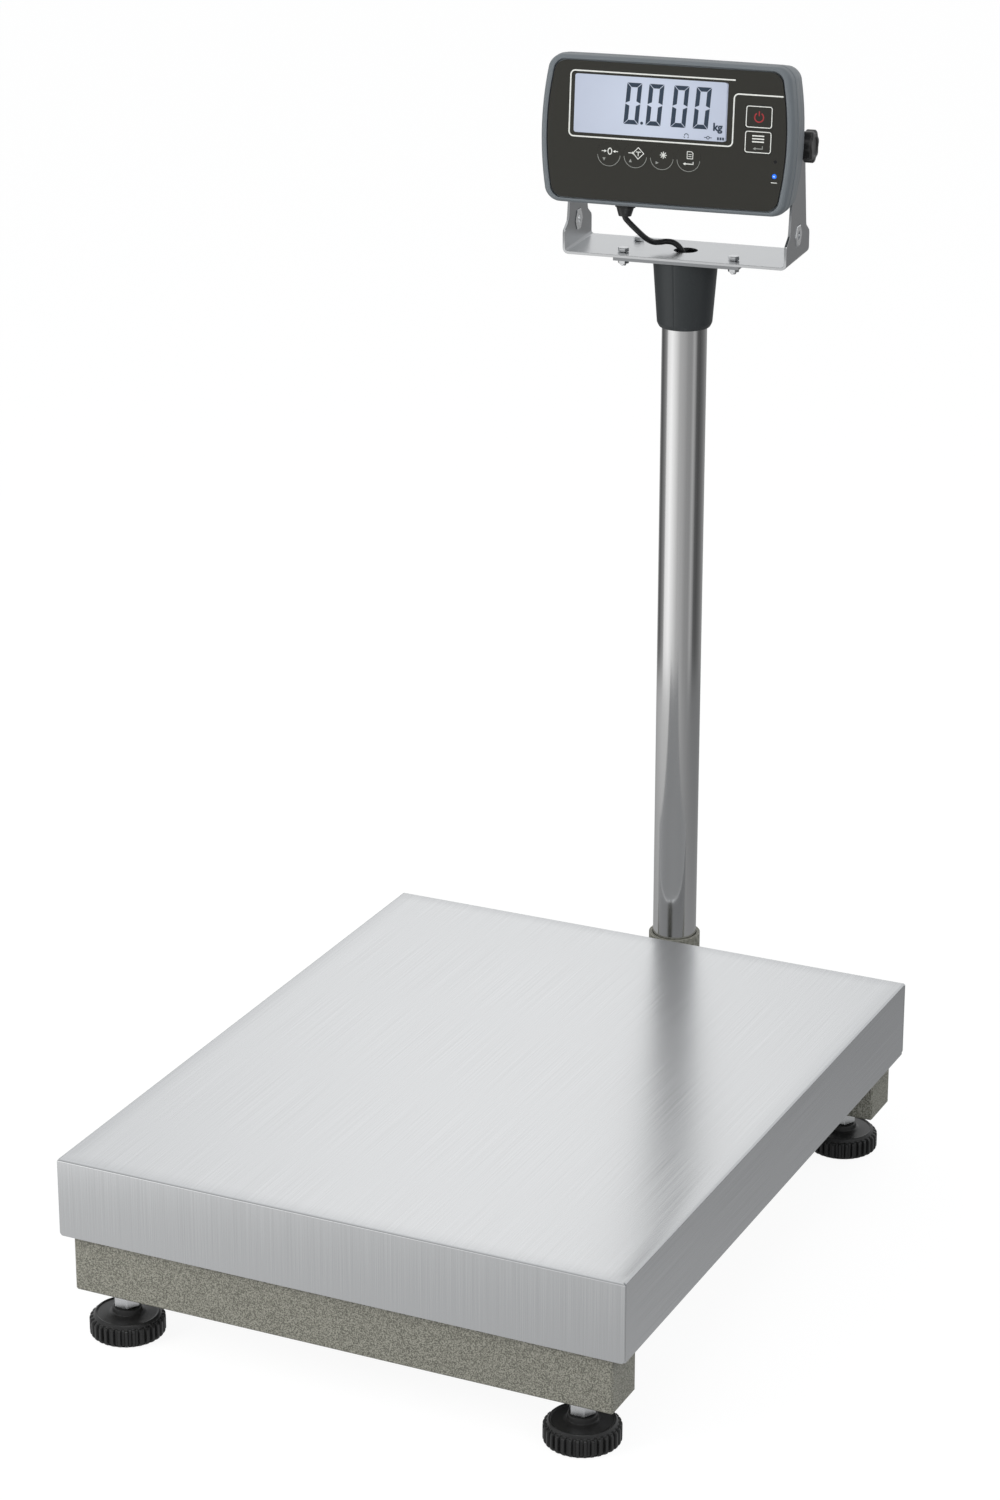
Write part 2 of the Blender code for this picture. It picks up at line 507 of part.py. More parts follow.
def build_bracket():
    """Bent U of stainless sheet with tapered ears."""
    z, s, w, top = BRACKET_Z, BRACKET_SHEET, BRACKET_HALF, PIVOT_Z + 0.013
    def corner(x, y, radius, start):
        return [(x + radius * math.cos(t), y + radius * math.sin(t))
                for t in np.radians(np.linspace(start, start + 90, 5))]
    outer, inner = 4 * MM, 2 * MM
    section = corner(-w + outer, z + outer, outer, 180) + corner(w - outer, z + outer, outer, 270)
    section += [(w, top), (w - s, top)]
    section += corner(w - s - inner, z + s + inner, inner, 270)[::-1]
    section += corner(-w + s + inner, z + s + inner, inner, 180)[::-1]
    section += [(-w + s, top), (-w, top)]
    bracket = prism("head_bracket", [(b, a) for a, b in section], -0.031, 0.031, "Y", STAINLESS, COLUMN)
    boolean(bracket, prism("ear_shape", ear_outline(), -w - 0.01, w + 0.01, "X", None, COLUMN, True),
            "INTERSECT")
    cut(bracket, rod("plate_cable_hole", z - 0.01, z + 0.01, 8.5 * MM, COLUMN),
        rod("pivot_holes", -w - 0.01, w + 0.01, 3.3 * MM, COLUMN, "X", (0, PIVOT_Z)),
        turned("insert_holes", [(-w - 0.01, 7.3 * MM, hexagon), (w + 0.01, 7.3 * MM, hexagon)], None,
               COLUMN, "X", (0, z + INSERT_RISE), 12, cutter=True))
    for place, at in FLANGE_BOLTS.items():
        cut(bracket, rod(f"bolt_way_{place}", z - 0.01, z + 0.01, 2.3 * MM, COLUMN, at=at, count=16))
        hex_bolt(f"flange_bolt_{place}", z + s + GAP, 0.0102, 7 * MM, 2 * MM, ZINC, COLUMN, at=at,
                 nut=s + 3 * GAP + FLANGE_SHEET)
    for side, sign in (("left", -1), ("right", 1)):
        face = sign * (w - s)
        turned(f"ear_insert_{side}", [(face - sign * 0.5 * MM, 3 * MM), (face + sign * 2.6 * MM, 3 * MM),
               (face + sign * 2.6 * MM, 6.6 * MM, hexagon), (face + sign * 2.2 * MM, 7.0 * MM, hexagon),
               (face - sign * 0.5 * MM, 7.0 * MM, hexagon)], ZINC, COLUMN, "X", (0, z + INSERT_RISE), 24,
               loop=True)


def build_knobs():
    """Lobed clamping knobs with their studs, on the tilt axis."""
    for side, sign in (("left", -1), ("right", 1)):
        seat = BRACKET_HALF + GAP
        path = [(sign * x, r * MM, *shape) for x, r, *shape in (
            (seat - 0.0118, 2.4), (seat - 0.0113, 3.0), (seat, 3.0), (seat, 7.0), (seat + 0.0020, 7.5),
            (seat + 0.0020, 10.2, lobes), (seat + 0.0028, 10.9, lobes), (seat + 0.0088, 10.9, lobes),
            (seat + 0.0100, 9.6, lobes))]
        turned(f"tilt_knob_{side}", path, BLACK, COLUMN @ Matrix.Translation((0, 0, PIVOT_Z)), "X",
               count=35)


# ---- indicator head -----------------------------------------------------------------------------
def corner_radius(half_x):
    """Corner radius of an outline of the head: smaller on the smaller outlines."""
    return max(6.5 * MM, FACE_ROUND - 0.85 * (FACE_HALF_X - half_x))


def face_rings(steps):
    """Rings across the depth of the head: each step is (depth, half width, half height)."""
    return [[(a, y, FACE_Z + b) for a, b in rounded(hx, hz, corner_radius(hx), FACE_BULGE)]
            for y, hx, hz in steps]


def window(name, u, v, hx, hz, radius, low, high):
    """A rounded rectangular cutter through the face."""
    ring = rounded(hx, hz, radius, arc=4, side=1)
    rings = [[(u + a, y, FACE_Z + v + b) for a, b in ring] for y in (low, high)]
    return loft(name, rings, None, HEAD, cutter=True)


def build_front_shell():
    """Front housing: raised bezel round a shallow pocket, open at the back."""
    hx, hz = FACE_HALF_X, FACE_HALF_Z
    px, pz = PANEL_HALF_X + GAP, PANEL_HALF_Z + GAP
    steps = [(FACE_Y + 1.6 * MM, px, pz), (FACE_Y + 0.4 * MM, px, pz),
             (FACE_Y, px + 0.6 * MM, pz + 0.6 * MM),
             (FACE_Y, hx - 3.4 * MM, hz - 2.6 * MM), (FACE_Y + 0.9 * MM, hx - 1.7 * MM, hz - 1.2 * MM),
             (FACE_Y + 3.2 * MM, hx - 0.7 * MM, hz - 0.4 * MM), (CREASE_Y, hx, hz),
             (SPLIT_Y - 0.5 * MM, hx - 0.2 * MM, hz - 0.2 * MM),
             (SPLIT_Y, hx - 0.7 * MM, hz - 0.7 * MM),
             (SPLIT_Y, hx - 3.4 * MM, hz - 3.4 * MM), (FACE_Y + 4 * MM, hx - 3.4 * MM, hz - 3.4 * MM)]
    shell = loft("head_front_shell", face_rings(steps), HOUSING, HEAD)
    cut(shell, window("lcd_opening", LCD_U, LCD_V, LCD_HALF_X + GAP, LCD_HALF_Z + GAP, 1.5 * MM,
                      FACE_Y - 0.01, FACE_Y + 0.01))
    for x in (-POST_X, POST_X):
        for z in (-POST_Z, POST_Z):
            join(shell, turned(f"board_post{x:+.2f}{z:+.3f}", [(FACE_Y + 3.5 * MM, 3.5 * MM),
                 (BOARD_Y - GAP, 3.5 * MM)], None, HEAD, "Y", (FACE_Z + z, x), 12, cutter=True))
    cut(shell, rod("led_way", FACE_Y - 0.01, FACE_Y + 0.01, 1.9 * MM, HEAD, "Y",
                   (FACE_Z + LED_V, LED_U), 16))
    return shell


def build_rear_shell():
    """Rear housing: narrow enough to stand between the bracket ears."""
    y0, hx, hz = SPLIT_Y + GAP, FACE_HALF_X, FACE_HALF_Z
    nx, nz = REAR_HALF_X, hz - 3.3 * MM
    steps = [(REAR_Y - 2.6 * MM, nx - 7.4 * MM, nz - 9.2 * MM), (y0, nx - 3.4 * MM, nz - 3.7 * MM),
             (y0, hx - 1.8 * MM, hz - 1.7 * MM), (SHOULDER_Y, hx - 2.2 * MM, hz - 2.1 * MM),
             (SHOULDER_Y + 0.8 * MM, nx, nz), (REAR_Y - 10 * MM, nx - 0.6 * MM, nz - 1.2 * MM),
             (REAR_Y - 3.5 * MM, nx - 3.0 * MM, nz - 4.2 * MM),
             (REAR_Y - 0.8 * MM, nx - 5.9 * MM, nz - 7.2 * MM), (REAR_Y, nx - 8.9 * MM, nz - 10.2 * MM)]
    shell = loft("head_rear_shell", face_rings(steps), HOUSING, HEAD)
    for side, sign in (("left", -1), ("right", 1)):
        join(shell, turned(f"pivot_boss_{side}", [(sign * 66 * MM, 8 * MM), (sign * 78.7 * MM, 8 * MM)],
                           None, HEAD, "X", (0, 0), 20, cutter=True))
        cut(shell, rod(f"pivot_bore_{side}", sign * 67.5 * MM, sign * 0.09, 3.3 * MM, HEAD, "X", (0, 0)))
    for x in (-0.056, 0.056):
        for z in (-0.030, 0.030):
            join(shell, turned(f"screw_post{x:+.3f}{z:+.3f}", [(y0 + 1 * MM, 4.5 * MM),
                 (12.5 * MM, 4.5 * MM)], None, HEAD, "Y", (FACE_Z + z, x), 12, cutter=True))
            cut(shell, rod(f"screw_pocket{x:+.3f}{z:+.3f}", 4 * MM, 20 * MM, 2.8 * MM, HEAD, "Y",
                           (FACE_Z + z, x), 12))
    cut(shell, rod("gland_hole", FACE_Z - 0.060, FACE_Z - 0.038, 5.3 * MM, HEAD,
                   at=(GLAND_X, GLAND_Y)),
        rod("charger_hole", 5 * MM, 20 * MM, 5.3 * MM, HEAD, "Y", (FACE_Z - 0.012, 0.036)))
    return shell


def build_face():
    """Panel film with its key openings, key pads, indicator light, display module."""
    low, high = FACE_Y + 0.1 * MM, FACE_Y + 1.3 * MM
    film = face_rings([(y, PANEL_HALF_X, PANEL_HALF_Z) for y in (low, high)])
    panel = loft("panel_film", film, PANEL, HEAD)
    cut(panel, window("film_window", LCD_U, LCD_V, LCD_HALF_X + GAP, LCD_HALF_Z + GAP, 1.5 * MM,
                      low - 0.01, high + 0.01),
        rod("film_led", low - 0.01, high + 0.01, 1.9 * MM, HEAD, "Y", (FACE_Z + LED_V, LED_U), 16))
    pad = (low, low + 0.7 * MM)
    for name, u in ROUND_KEYS.items():
        at = (FACE_Z + ROUND_KEY_V, u)
        cut(panel, rod(f"{name}_way", low - 0.01, high + 0.01, ROUND_KEY_R + GAP, HEAD, "Y", at, 32))
        turned(name, [(pad[0], ROUND_KEY_R), (pad[1], ROUND_KEY_R)], KEYPAD, HEAD, "Y", at, 32)
    for name, v in SQUARE_KEYS.items():
        cut(panel, window(f"{name}_way", SQUARE_KEY_U, v, 9.4 * MM + GAP, 7.5 * MM + GAP, 1.6 * MM + GAP,
                          low - 0.01, high + 0.01))
        ring = rounded(9.4 * MM, 7.5 * MM, 1.6 * MM, arc=4, side=1)
        loft(name, [[(SQUARE_KEY_U + a, y, FACE_Z + v + b) for a, b in ring] for y in pad], KEYPAD, HEAD)
    turned("power_led", [(low, 1.2 * MM), (low + 0.4 * MM, 1.6 * MM), (FACE_Y + 6 * MM, 1.6 * MM)],
           LED, HEAD, "Y", (FACE_Z + LED_V, LED_U), 16)
    module = box("display_module", (LCD_U - 57 * MM, LCD_U + 57 * MM), (FACE_Y + 4.3 * MM, FACE_Y + 11 * MM),
                 (FACE_Z + LCD_V - 22.5 * MM, FACE_Z + LCD_V + 22.5 * MM), DISPLAY, HEAD)
    glass = window("display_face", LCD_U, LCD_V, LCD_HALF_X, LCD_HALF_Z, 1.2 * MM, FACE_Y + 0.5 * MM,
                   FACE_Y + 5 * MM)
    join(module, glass)


def build_inside():
    """Main board, battery, charger socket and cable gland."""
    back = BOARD_Y + 1.6 * MM
    board = box("main_board", (-BOARD_HALF_X, BOARD_HALF_X), (BOARD_Y, back),
                (FACE_Z - BOARD_HALF_Z, FACE_Z + BOARD_HALF_Z), BOARD, HEAD)
    parts = ((-20, 8, 20, 1.5), (34, 20, 12, 4.0), (-52, -18, 14, 3.0), (30, -14, 9, 6.0))
    for index, (u, v, size, rise) in enumerate(parts):
        join(board, box(f"component_{index}", ((u - size / 2) * MM, (u + size / 2) * MM),
                        (back - 0.2 * MM, back + rise * MM),
                        (FACE_Z + (v - size / 2) * MM, FACE_Z + (v + size / 2) * MM), None, HEAD, 0, True))
    box("battery_pack", (-36 * MM, 24 * MM), (-8 * MM, 11.1 * MM), (FACE_Z - 12 * MM, FACE_Z + 26 * MM),
        BATTERY, HEAD, 1.5 * MM)
    turned("charger_socket", [(2 * MM, 1.2 * MM), (14.6 * MM, 2.8 * MM), (15.6 * MM, 2.8 * MM),
           (15.6 * MM, 6.6 * MM), (14.3 * MM, 7.0 * MM), (14.3 * MM, 5 * MM), (0, 5 * MM), (0, 1.2 * MM)],
           BLACK, HEAD, "Y", (FACE_Z - 0.012, 0.036), 16, True)
    z = FACE_Z - FACE_HALF_Z + 1.7 * MM - GAP
    end = z - GLAND_LENGTH
    turned("cable_gland", [(z + 7 * MM, 2.3 * MM), (z + 7 * MM, 5 * MM), (z - GAP, 5 * MM),
           (z - GAP, 6.4 * MM, hexagon), (z - 5 * MM, 6.4 * MM, hexagon), (z - 5 * MM, 6.2 * MM),
           (end, 4.4 * MM), (end, 2.3 * MM)], BLACK, HEAD, at=(GLAND_X, GLAND_Y), count=18,
           loop=True)


def spline(points, count):
    """Smooth curve through the points (Catmull-Rom), with the same number of samples on each span."""
    p = [Vector(q) for q in points]
    p = [2 * p[0] - p[1], *p, 2 * p[-1] - p[-2]]
    out = []
    for i in range(1, len(p) - 2):
        for k in range(count):
            t = k / count
            a, b, c, d = p[i - 1], p[i], p[i + 1], p[i + 2]
            out.append(0.5 * (2 * b + (c - a) * t + (2 * a - 5 * b + 4 * c - d) * t * t
                              + (3 * b - a - 3 * c + d) * t * t * t))
    return [*out, p[-2]]


def build_cable():
    """Signal cable: head, plate hole, column, base channel, load cell."""
    start = COLUMN.inverted() @ HEAD
    gland = [start @ Vector((GLAND_X, GLAND_Y, FACE_Z - d * MM)) for d in (45.0, 55.0, 61.0)]
    near = [(-33.0, -30.6, 26.6), (-28.4, -27.0, 20.6), (-23.6, -20.6, 13.6), (-19.8, -14.6, 9.6),
            (-15.6, -9.8, 8.7), (-12.2, -6.9, 8.8), (-8.0, -4.3, 7.8), (-4.0, -2.4, 4.4),
            (-1.0, -0.8, -1.6), (0, 0, -9.0), (0, 0, -33.6)]
    column = [(x * MM, y * MM, BRACKET_Z + z * MM) for x, y, z in near]
    column += [(0, 0, 0.3500), (0, 0, 0.0900), (0, 0, 0.0600)]
    upper = [COLUMN @ Vector(p) for p in [*gland, *column]]
    y = COLUMN_Y
    lower = [BASE @ Vector(p) for p in ((0, y - 0.002, 0.0515), (0, y - 0.008, 0.0480),
             (0, y - 0.020, 0.0475), (0, y - 0.055, 0.0480), (0, 0.200, 0.0480), (0, 0.112, 0.0480),
             (0, 0.100, 0.0510), (0, 0.0955, 0.0580), (0, 0.094, 0.0680), (0, 0.089, 0.0770),
             (0, 0.080, 0.0800), (0, 0.0656, 0.0802))]
    curve = bpy.data.curves.new("signal_cable", "CURVE")
    curve.dimensions = "3D"
    curve.bevel_depth = 2.0 * MM
    curve.bevel_resolution = 2
    curve.use_fill_caps = True
    path = spline([*upper, *lower], 3)
    line = curve.splines.new("POLY")
    line.points.add(len(path) - 1)
    for point, place in zip(line.points, path):
        point.co = (*place, 1)
    cable = bpy.data.objects.new("signal_cable", curve)
    cable.data.materials.append(CABLE)
    PARTS.objects.link(cable)
    return cable


build_base()
build_socket()
build_base_fasteners()
for corner, sx, sy in (("front_left", -1, -1), ("front_right", 1, -1), ("rear_left", -1, 1),
                       ("rear_right", 1, 1)):
    build_foot(corner, sx * FOOT_X, sy * BEAM_Y)
build_load_cell()
build_load_frame()
build_pan()
build_column()
build_bracket()
build_knobs()
build_front_shell()
build_rear_shell()
build_face()
build_inside()
build_cable()
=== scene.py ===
# %% [markdown]
# # A platform scale for small animals
# The scale is a brushed steel pan on a painted base with four screw feet. A steel column stands
# behind it and holds an indicator head in a bent bracket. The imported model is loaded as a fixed
# frame: it gives every size and place below, and this script gives each piece its surface.

# %% Load the frame
import json
import math

import bmesh
import bpy
import numpy as np
from mathutils import Matrix, Vector


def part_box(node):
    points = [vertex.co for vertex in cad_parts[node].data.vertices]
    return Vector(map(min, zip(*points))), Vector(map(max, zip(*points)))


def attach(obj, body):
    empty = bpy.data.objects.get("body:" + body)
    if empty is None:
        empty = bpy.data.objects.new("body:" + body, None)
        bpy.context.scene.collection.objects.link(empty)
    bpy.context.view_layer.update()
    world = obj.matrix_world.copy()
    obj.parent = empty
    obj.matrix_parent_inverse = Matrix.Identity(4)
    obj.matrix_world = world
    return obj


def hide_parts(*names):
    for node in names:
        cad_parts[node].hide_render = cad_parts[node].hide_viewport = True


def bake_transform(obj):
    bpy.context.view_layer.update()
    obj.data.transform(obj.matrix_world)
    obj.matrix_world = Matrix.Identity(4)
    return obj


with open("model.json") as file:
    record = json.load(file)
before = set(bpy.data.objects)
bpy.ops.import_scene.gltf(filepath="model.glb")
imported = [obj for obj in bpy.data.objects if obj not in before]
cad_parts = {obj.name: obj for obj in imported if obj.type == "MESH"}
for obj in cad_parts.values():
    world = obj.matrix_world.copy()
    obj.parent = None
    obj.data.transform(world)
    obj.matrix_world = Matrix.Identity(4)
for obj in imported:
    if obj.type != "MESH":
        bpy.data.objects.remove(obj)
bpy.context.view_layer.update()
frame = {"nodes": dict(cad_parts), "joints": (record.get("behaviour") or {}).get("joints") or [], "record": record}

MM = 0.001
BODY_OF = {node: body for body, nodes in frame["record"]["behaviour"]["bodies"].items()
           for node in nodes}

# %% [markdown]
# ## Places
# Three frames carry all the pieces. The base stands square. The column is turned a few degrees in
# its socket, and the head leans back in its bracket. Both angles are read from the joints, so
# the surfaces always follow the model.

# %% Frames of the base, the column and the head
JOINT = {joint["name"]: joint for joint in frame["joints"]}
AXIS = Vector(JOINT["head_tilt"]["axis"])
PIVOT = Vector(JOINT["head_tilt"]["pos_m"])
SWIVEL = math.atan2(AXIS.y, AXIS.x)
TILT = math.asin(-JOINT["key_zero_press"]["axis"][2])
PAN_LOW, PAN_HIGH = (np.array(corner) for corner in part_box("weighing_pan"))
PAN_CENTRE = (PAN_LOW + PAN_HIGH) / 2
BASE = Matrix.Translation((0, PAN_CENTRE[1], 0))
COLUMN = Matrix.Translation((PIVOT.x, PIVOT.y, 0)) @ Matrix.Rotation(SWIVEL, 4, "Z")
HEAD = COLUMN @ Matrix.Translation((0, 0, PIVOT.z)) @ Matrix.Rotation(-TILT, 4, "X")
print(f"column turned {math.degrees(SWIVEL):.1f} deg, head leaned {math.degrees(TILT):.1f} deg")

# %% [markdown]
# ## Camera
# The camera stands to the right of the front, a little above the head, and looks down. Its place
# is given from the middle of the weighing surface, in metres.

# %% Camera
AZIMUTH, ELEVATION = math.radians(25.252), math.radians(20.307)
CAMERA_PLACE = Vector((1.0303, -2.1877, 1.1241))
CAMERA_LENS = 93.94


def linked(name, data):
    """An object in the scene that holds the data."""
    obj = bpy.data.objects.new(name, data)
    bpy.context.scene.collection.objects.link(obj)
    return obj


view_back = Vector((math.sin(AZIMUTH) * math.cos(ELEVATION),
                    -math.cos(AZIMUTH) * math.cos(ELEVATION), math.sin(ELEVATION)))
camera_data = bpy.data.cameras.new("camera")
camera_data.lens = CAMERA_LENS
camera_data.sensor_width = 36
camera = linked("camera", camera_data)
camera.rotation_euler = (-view_back).to_track_quat("-Z", "Y").to_euler()
camera.location = CAMERA_PLACE + Vector((0, PAN_CENTRE[1], PAN_HIGH[2]))
bpy.context.scene.camera = camera
bpy.context.scene.view_settings.view_transform = "Standard"
print("camera at", [round(v, 3) for v in camera.location])

# %% [markdown]
# ## Studio
# A metal object shows its surroundings more than itself. So metal sees a pale room with a window,
# and a floor whose bright and dark sectors give the tube its stripes. Soft panels light the rest.
# The floor stays white to the eye and still takes the faint shadow of the feet.

# %% Floor, world and lights
SOFT_PANELS = (
    # name, place, size, watts, colour, whether metal mirrors it
    ("key_left", (-1.15, -1.55, 1.0), 1.0, 24, (1.0, 0.99, 0.97), False),
    ("fill_right", (2.0, -1.2, 1.4), 1.2, 16, (0.95, 0.97, 1.0), False),
    ("top_front", (0.3, -1.2, 2.4), 1.4, 8, (1.0, 1.0, 1.0), True),
)
STRIPES = (
    # degrees round the column from the front to the right, brightness of the floor there
    (-135, 0.30), (-112, 0.03), (-90, 0.16), (-73, 0.34), (-65, 1.10), (-40, 1.32), (-26, 1.08),
    (-12, 0.86), (3, 0.56), (28, 0.44), (45, 0.30), (64, 0.28), (77, 0.50), (88, 0.28), (95, 0.06),
    (112, 0.03), (131, 0.10), (150, 0.20), (165, 0.30),
)
STRIPES_FROM, STRIPES_FULL = 0.85, 1.0     # metres from the column where they set in
FLOOR_HALF, FLOOR_LOW = 6.0, -0.2 * MM     # half its side; it lies just clear of the feet
FLOOR_SHADE = 0.12           # share of the real floor that the camera sees; the rest is white
MIRROR_SHADE = 0.10          # the same share for what metal and glass see
WHITE = (1, 1, 1, 1)
# Each of these is a direction, then the distance along it and the colour there, low and high.
NEAR_FLOOR = (0.75, 0.66, 0), (-1.3, (0.74, 0.74, 0.74)), (1.0, (0.19, 0.193, 0.197))
ROOM_LIGHT = (-0.15, 0.85, 0.5), (-0.6, (0.22, 0.225, 0.23)), (0.9, (0.90, 0.91, 0.92))
ROOM_SEEN = (-0.15, 0.85, 0.5), (-0.6, (0.50, 0.505, 0.51)), (0.9, (0.90, 0.91, 0.92))
WINDOW = (-0.377, 0.807, 0.456), (0.986, (0.79, 0.79, 0.79)), (1.0, (1.36, 1.34, 1.32))
LAMP_TARGET = Vector((0, 0, 0.35))


def bare_tree(owner):
    """The emptied node tree of a material or a world."""
    owner.use_nodes = True
    owner.node_tree.nodes.clear()
    return owner.node_tree


def add(tree, kind, inputs=None, **properties):
    """A new node with its properties, and with each input linked from a socket or set."""
    node = tree.nodes.new("ShaderNode" + kind)
    for name, value in properties.items():
        setattr(node, name, value)
    for name, value in (inputs or {}).items():
        if isinstance(value, bpy.types.NodeSocket):
            tree.links.new(value, node.inputs[name])
        else:
            node.inputs[name].default_value = value
    return node


def mix_shaders(tree, factor, first, second):
    """A Mix Shader whose factor is a number or a socket."""
    return add(tree, "MixShader", {0: factor, 1: first.outputs[0], 2: second.outputs[0]})


def blend(tree, factor, first, second, how="MIX"):
    """Two colours mixed by a factor. Each is a value or a socket."""
    return add(tree, "Mix", {"Factor": factor, "A": first, "B": second}, data_type="RGBA",
               blend_type=how).outputs["Result"]


def part_way(tree, value, low, high):
    """How far a value is from low to high, as a smooth step from 0 to 1."""
    return add(tree, "MapRange", {"Value": value, "From Min": low, "From Max": high},
               interpolation_type="SMOOTHSTEP").outputs[0]


def ramp(tree, vector, direction, low, high):
    """A colour that goes from low to high along a direction of a vector, each given as a pair of
    the distance along it and the colour there."""
    along = add(tree, "VectorMath", {0: vector, 1: Vector(direction).normalized()},
                operation="DOT_PRODUCT")
    part = part_way(tree, along.outputs["Value"], low[0], high[0])
    return blend(tree, part, (*low[1], 1), (*high[1], 1))


def by_ray(tree, lit, mirrored, seen, output):
    """One shader for the camera, one for metal and glass, and one for diffuse light."""
    path = add(tree, "LightPath")
    shiny = add(tree, "Math", {0: path.outputs["Is Glossy Ray"],
                               1: path.outputs["Is Transmission Ray"]}, operation="MAXIMUM")
    mix = mix_shaders(tree, shiny.outputs[0], lit, mirrored)
    mix = mix_shaders(tree, path.outputs["Is Camera Ray"], mix, seen)
    add(tree, output, {"Surface": mix.outputs[0]})


def stripes_round_column(tree, place, near):
    """Bright and dark sectors of the floor round the column's foot, which a round tube mirrors as
    long stripes. Within a metre of the column the floor keeps the near colour."""
    about = add(tree, "Mapping", {"Vector": place, "Rotation": (0, 0, math.pi / 2),
                                  "Location": (PIVOT.y, -PIVOT.x, 0)}).outputs[0]
    turn = add(tree, "TexGradient", {"Vector": about}, gradient_type="RADIAL")
    sectors = add(tree, "ValToRGB", {0: turn.outputs["Fac"]})
    stops = sectors.color_ramp.elements
    for index, (degrees, value) in enumerate(STRIPES):
        position = degrees / 360 + 0.5
        stop = stops[0] if index == 0 else stops.new(position)
        stop.position = position
        stop.color = (value, value, value, 1)
    stops.remove(stops[-1])
    reach = add(tree, "VectorMath", {0: about}, operation="LENGTH")
    far = part_way(tree, reach.outputs["Value"], STRIPES_FROM, STRIPES_FULL)
    return blend(tree, far, near, sectors.outputs["Color"])


def build_floor():
    """A wide square. The camera sees it white but for the shadows on it. Metal and glass see it
    fall off from the pale front left to the dark rear right, with the stripes further out."""
    mesh = bpy.data.meshes.new("floor")
    corners = ((-1, -1), (1, -1), (1, 1), (-1, 1))
    mesh.from_pydata([(x * FLOOR_HALF, y * FLOOR_HALF, FLOOR_LOW) for x, y in corners], [],
                     [(0, 1, 2, 3)])
    material = bpy.data.materials.new("floor")
    tree = bare_tree(material)
    place = add(tree, "TexCoord").outputs["Object"]
    real = add(tree, "BsdfDiffuse", {"Color": (0.86, 0.86, 0.86, 1)})
    white = add(tree, "Emission", {"Color": WHITE, "Strength": 1.05})
    lit = add(tree, "BsdfDiffuse", {"Color": (0.55, 0.55, 0.55, 1)})
    near = ramp(tree, place, *NEAR_FLOOR)
    glow = add(tree, "Emission", {"Color": stripes_round_column(tree, place, near)})
    by_ray(tree, lit, mix_shaders(tree, MIRROR_SHADE, glow, real),
           mix_shaders(tree, FLOOR_SHADE, white, real), "OutputMaterial")
    mesh.materials.append(material)
    linked("floor", mesh)


def build_world():
    """Plain white to the camera. Metal and glass see a pale room with a soft window behind and
    above the scale, which the pan mirrors. It lights the rest from behind more than in front."""
    world = bpy.data.worlds.new("studio")
    bpy.context.scene.world = world
    tree = bare_tree(world)
    place = add(tree, "TexCoord").outputs["Generated"]
    room, window = ramp(tree, place, *ROOM_SEEN), ramp(tree, place, *WINDOW)
    by_ray(tree, add(tree, "Background", {"Color": ramp(tree, place, *ROOM_LIGHT)}),
           add(tree, "Background", {"Color": blend(tree, 1.0, room, window, "MULTIPLY")}),
           add(tree, "Background", {"Color": WHITE}), "OutputWorld")


def build_lights():
    """Square panels that face the middle of the scale."""
    for name, place, size, watts, colour, mirrored in SOFT_PANELS:
        data = bpy.data.lights.new(name, "AREA")
        data.shape, data.size, data.energy, data.color = "SQUARE", size, watts, colour
        lamp = linked(name, data)
        lamp.location = place
        lamp.visible_glossy = mirrored
        lamp.rotation_euler = (LAMP_TARGET - Vector(place)).to_track_quat("-Z", "Y").to_euler()


build_floor()
build_world()
build_lights()
print("studio:", len(SOFT_PANELS), "panels")

# %% [markdown]
# ## Finishes
# Every finish is one noise stretched to the grain of its material. The noise moves the colour and
# the roughness a little and lifts the surface by a few hundredths of a millimetre. The numbers
# are cells per metre along each axis, so a brushed sheet has few along its grain and many across.

# %% Material helper
MATERIALS = {}
ON_SHEET = ("brushed_sheet", "smooth_fold_painted_highlight")          # these take the unrolled sheet's coordinate
MORE = {"housing_moulding": {"Specular IOR Level": 0.35}, "film": {"Specular IOR Level": 0.35},
        "led_lens": {"Emission Color": (0.05, 0.25, 1.0, 1), "Emission Strength": 0.6}}


def finish(name, colour, roughness, metallic, cells, detail, swing, rough_swing, lift):
    """A Principled material whose colour, roughness and height follow one stretched noise.

    colour = base x (1 + swing x (2n - 1)), roughness = base + rough_swing x (2n - 1), and
    height = lift x n in millimetres, where n is the noise between 0 and 1.
    """
    material = bpy.data.materials.new(name)
    material.use_nodes = True
    tree = material.node_tree
    shader = tree.nodes["Principled BSDF"]
    place = add(tree, "TexCoord").outputs["UV" if name in ON_SHEET else "Object"]
    scale = cells if isinstance(cells, tuple) else (cells, cells, cells)
    mapping = add(tree, "Mapping", {"Vector": place, "Scale": scale})
    noise = add(tree, "TexNoise", {"Vector": mapping.outputs[0], "Scale": 1.0, "Detail": detail})
    n = noise.outputs["Fac"]
    low, high = ((*(min(1.0, c * (1 + sign * swing)) for c in colour), 1) for sign in (-1, 1))
    rough = add(tree, "MapRange", {"Value": n, "To Min": max(0.02, roughness - rough_swing),
                                   "To Max": min(1.0, roughness + rough_swing)})
    tree.links.new(blend(tree, n, low, high), shader.inputs["Base Color"])
    tree.links.new(rough.outputs[0], shader.inputs["Roughness"])
    for socket, value in {"Metallic": metallic, **MORE.get(name, {})}.items():
        shader.inputs[socket].default_value = value
    if lift:
        bump = add(tree, "Bump", {"Height": n, "Distance": lift * MM})
        tree.links.new(bump.outputs[0], shader.inputs["Normal"])
    MATERIALS[name] = material
    return material


# %% [markdown]
# The sheet metal is brushed along one direction. The cover uses its unrolled sheet as the
# coordinate, so its grain runs over the front bend and down the skirt as it does on folded steel.
# The base has a hammered powder coat: coarse blobs with pale flecks on them.

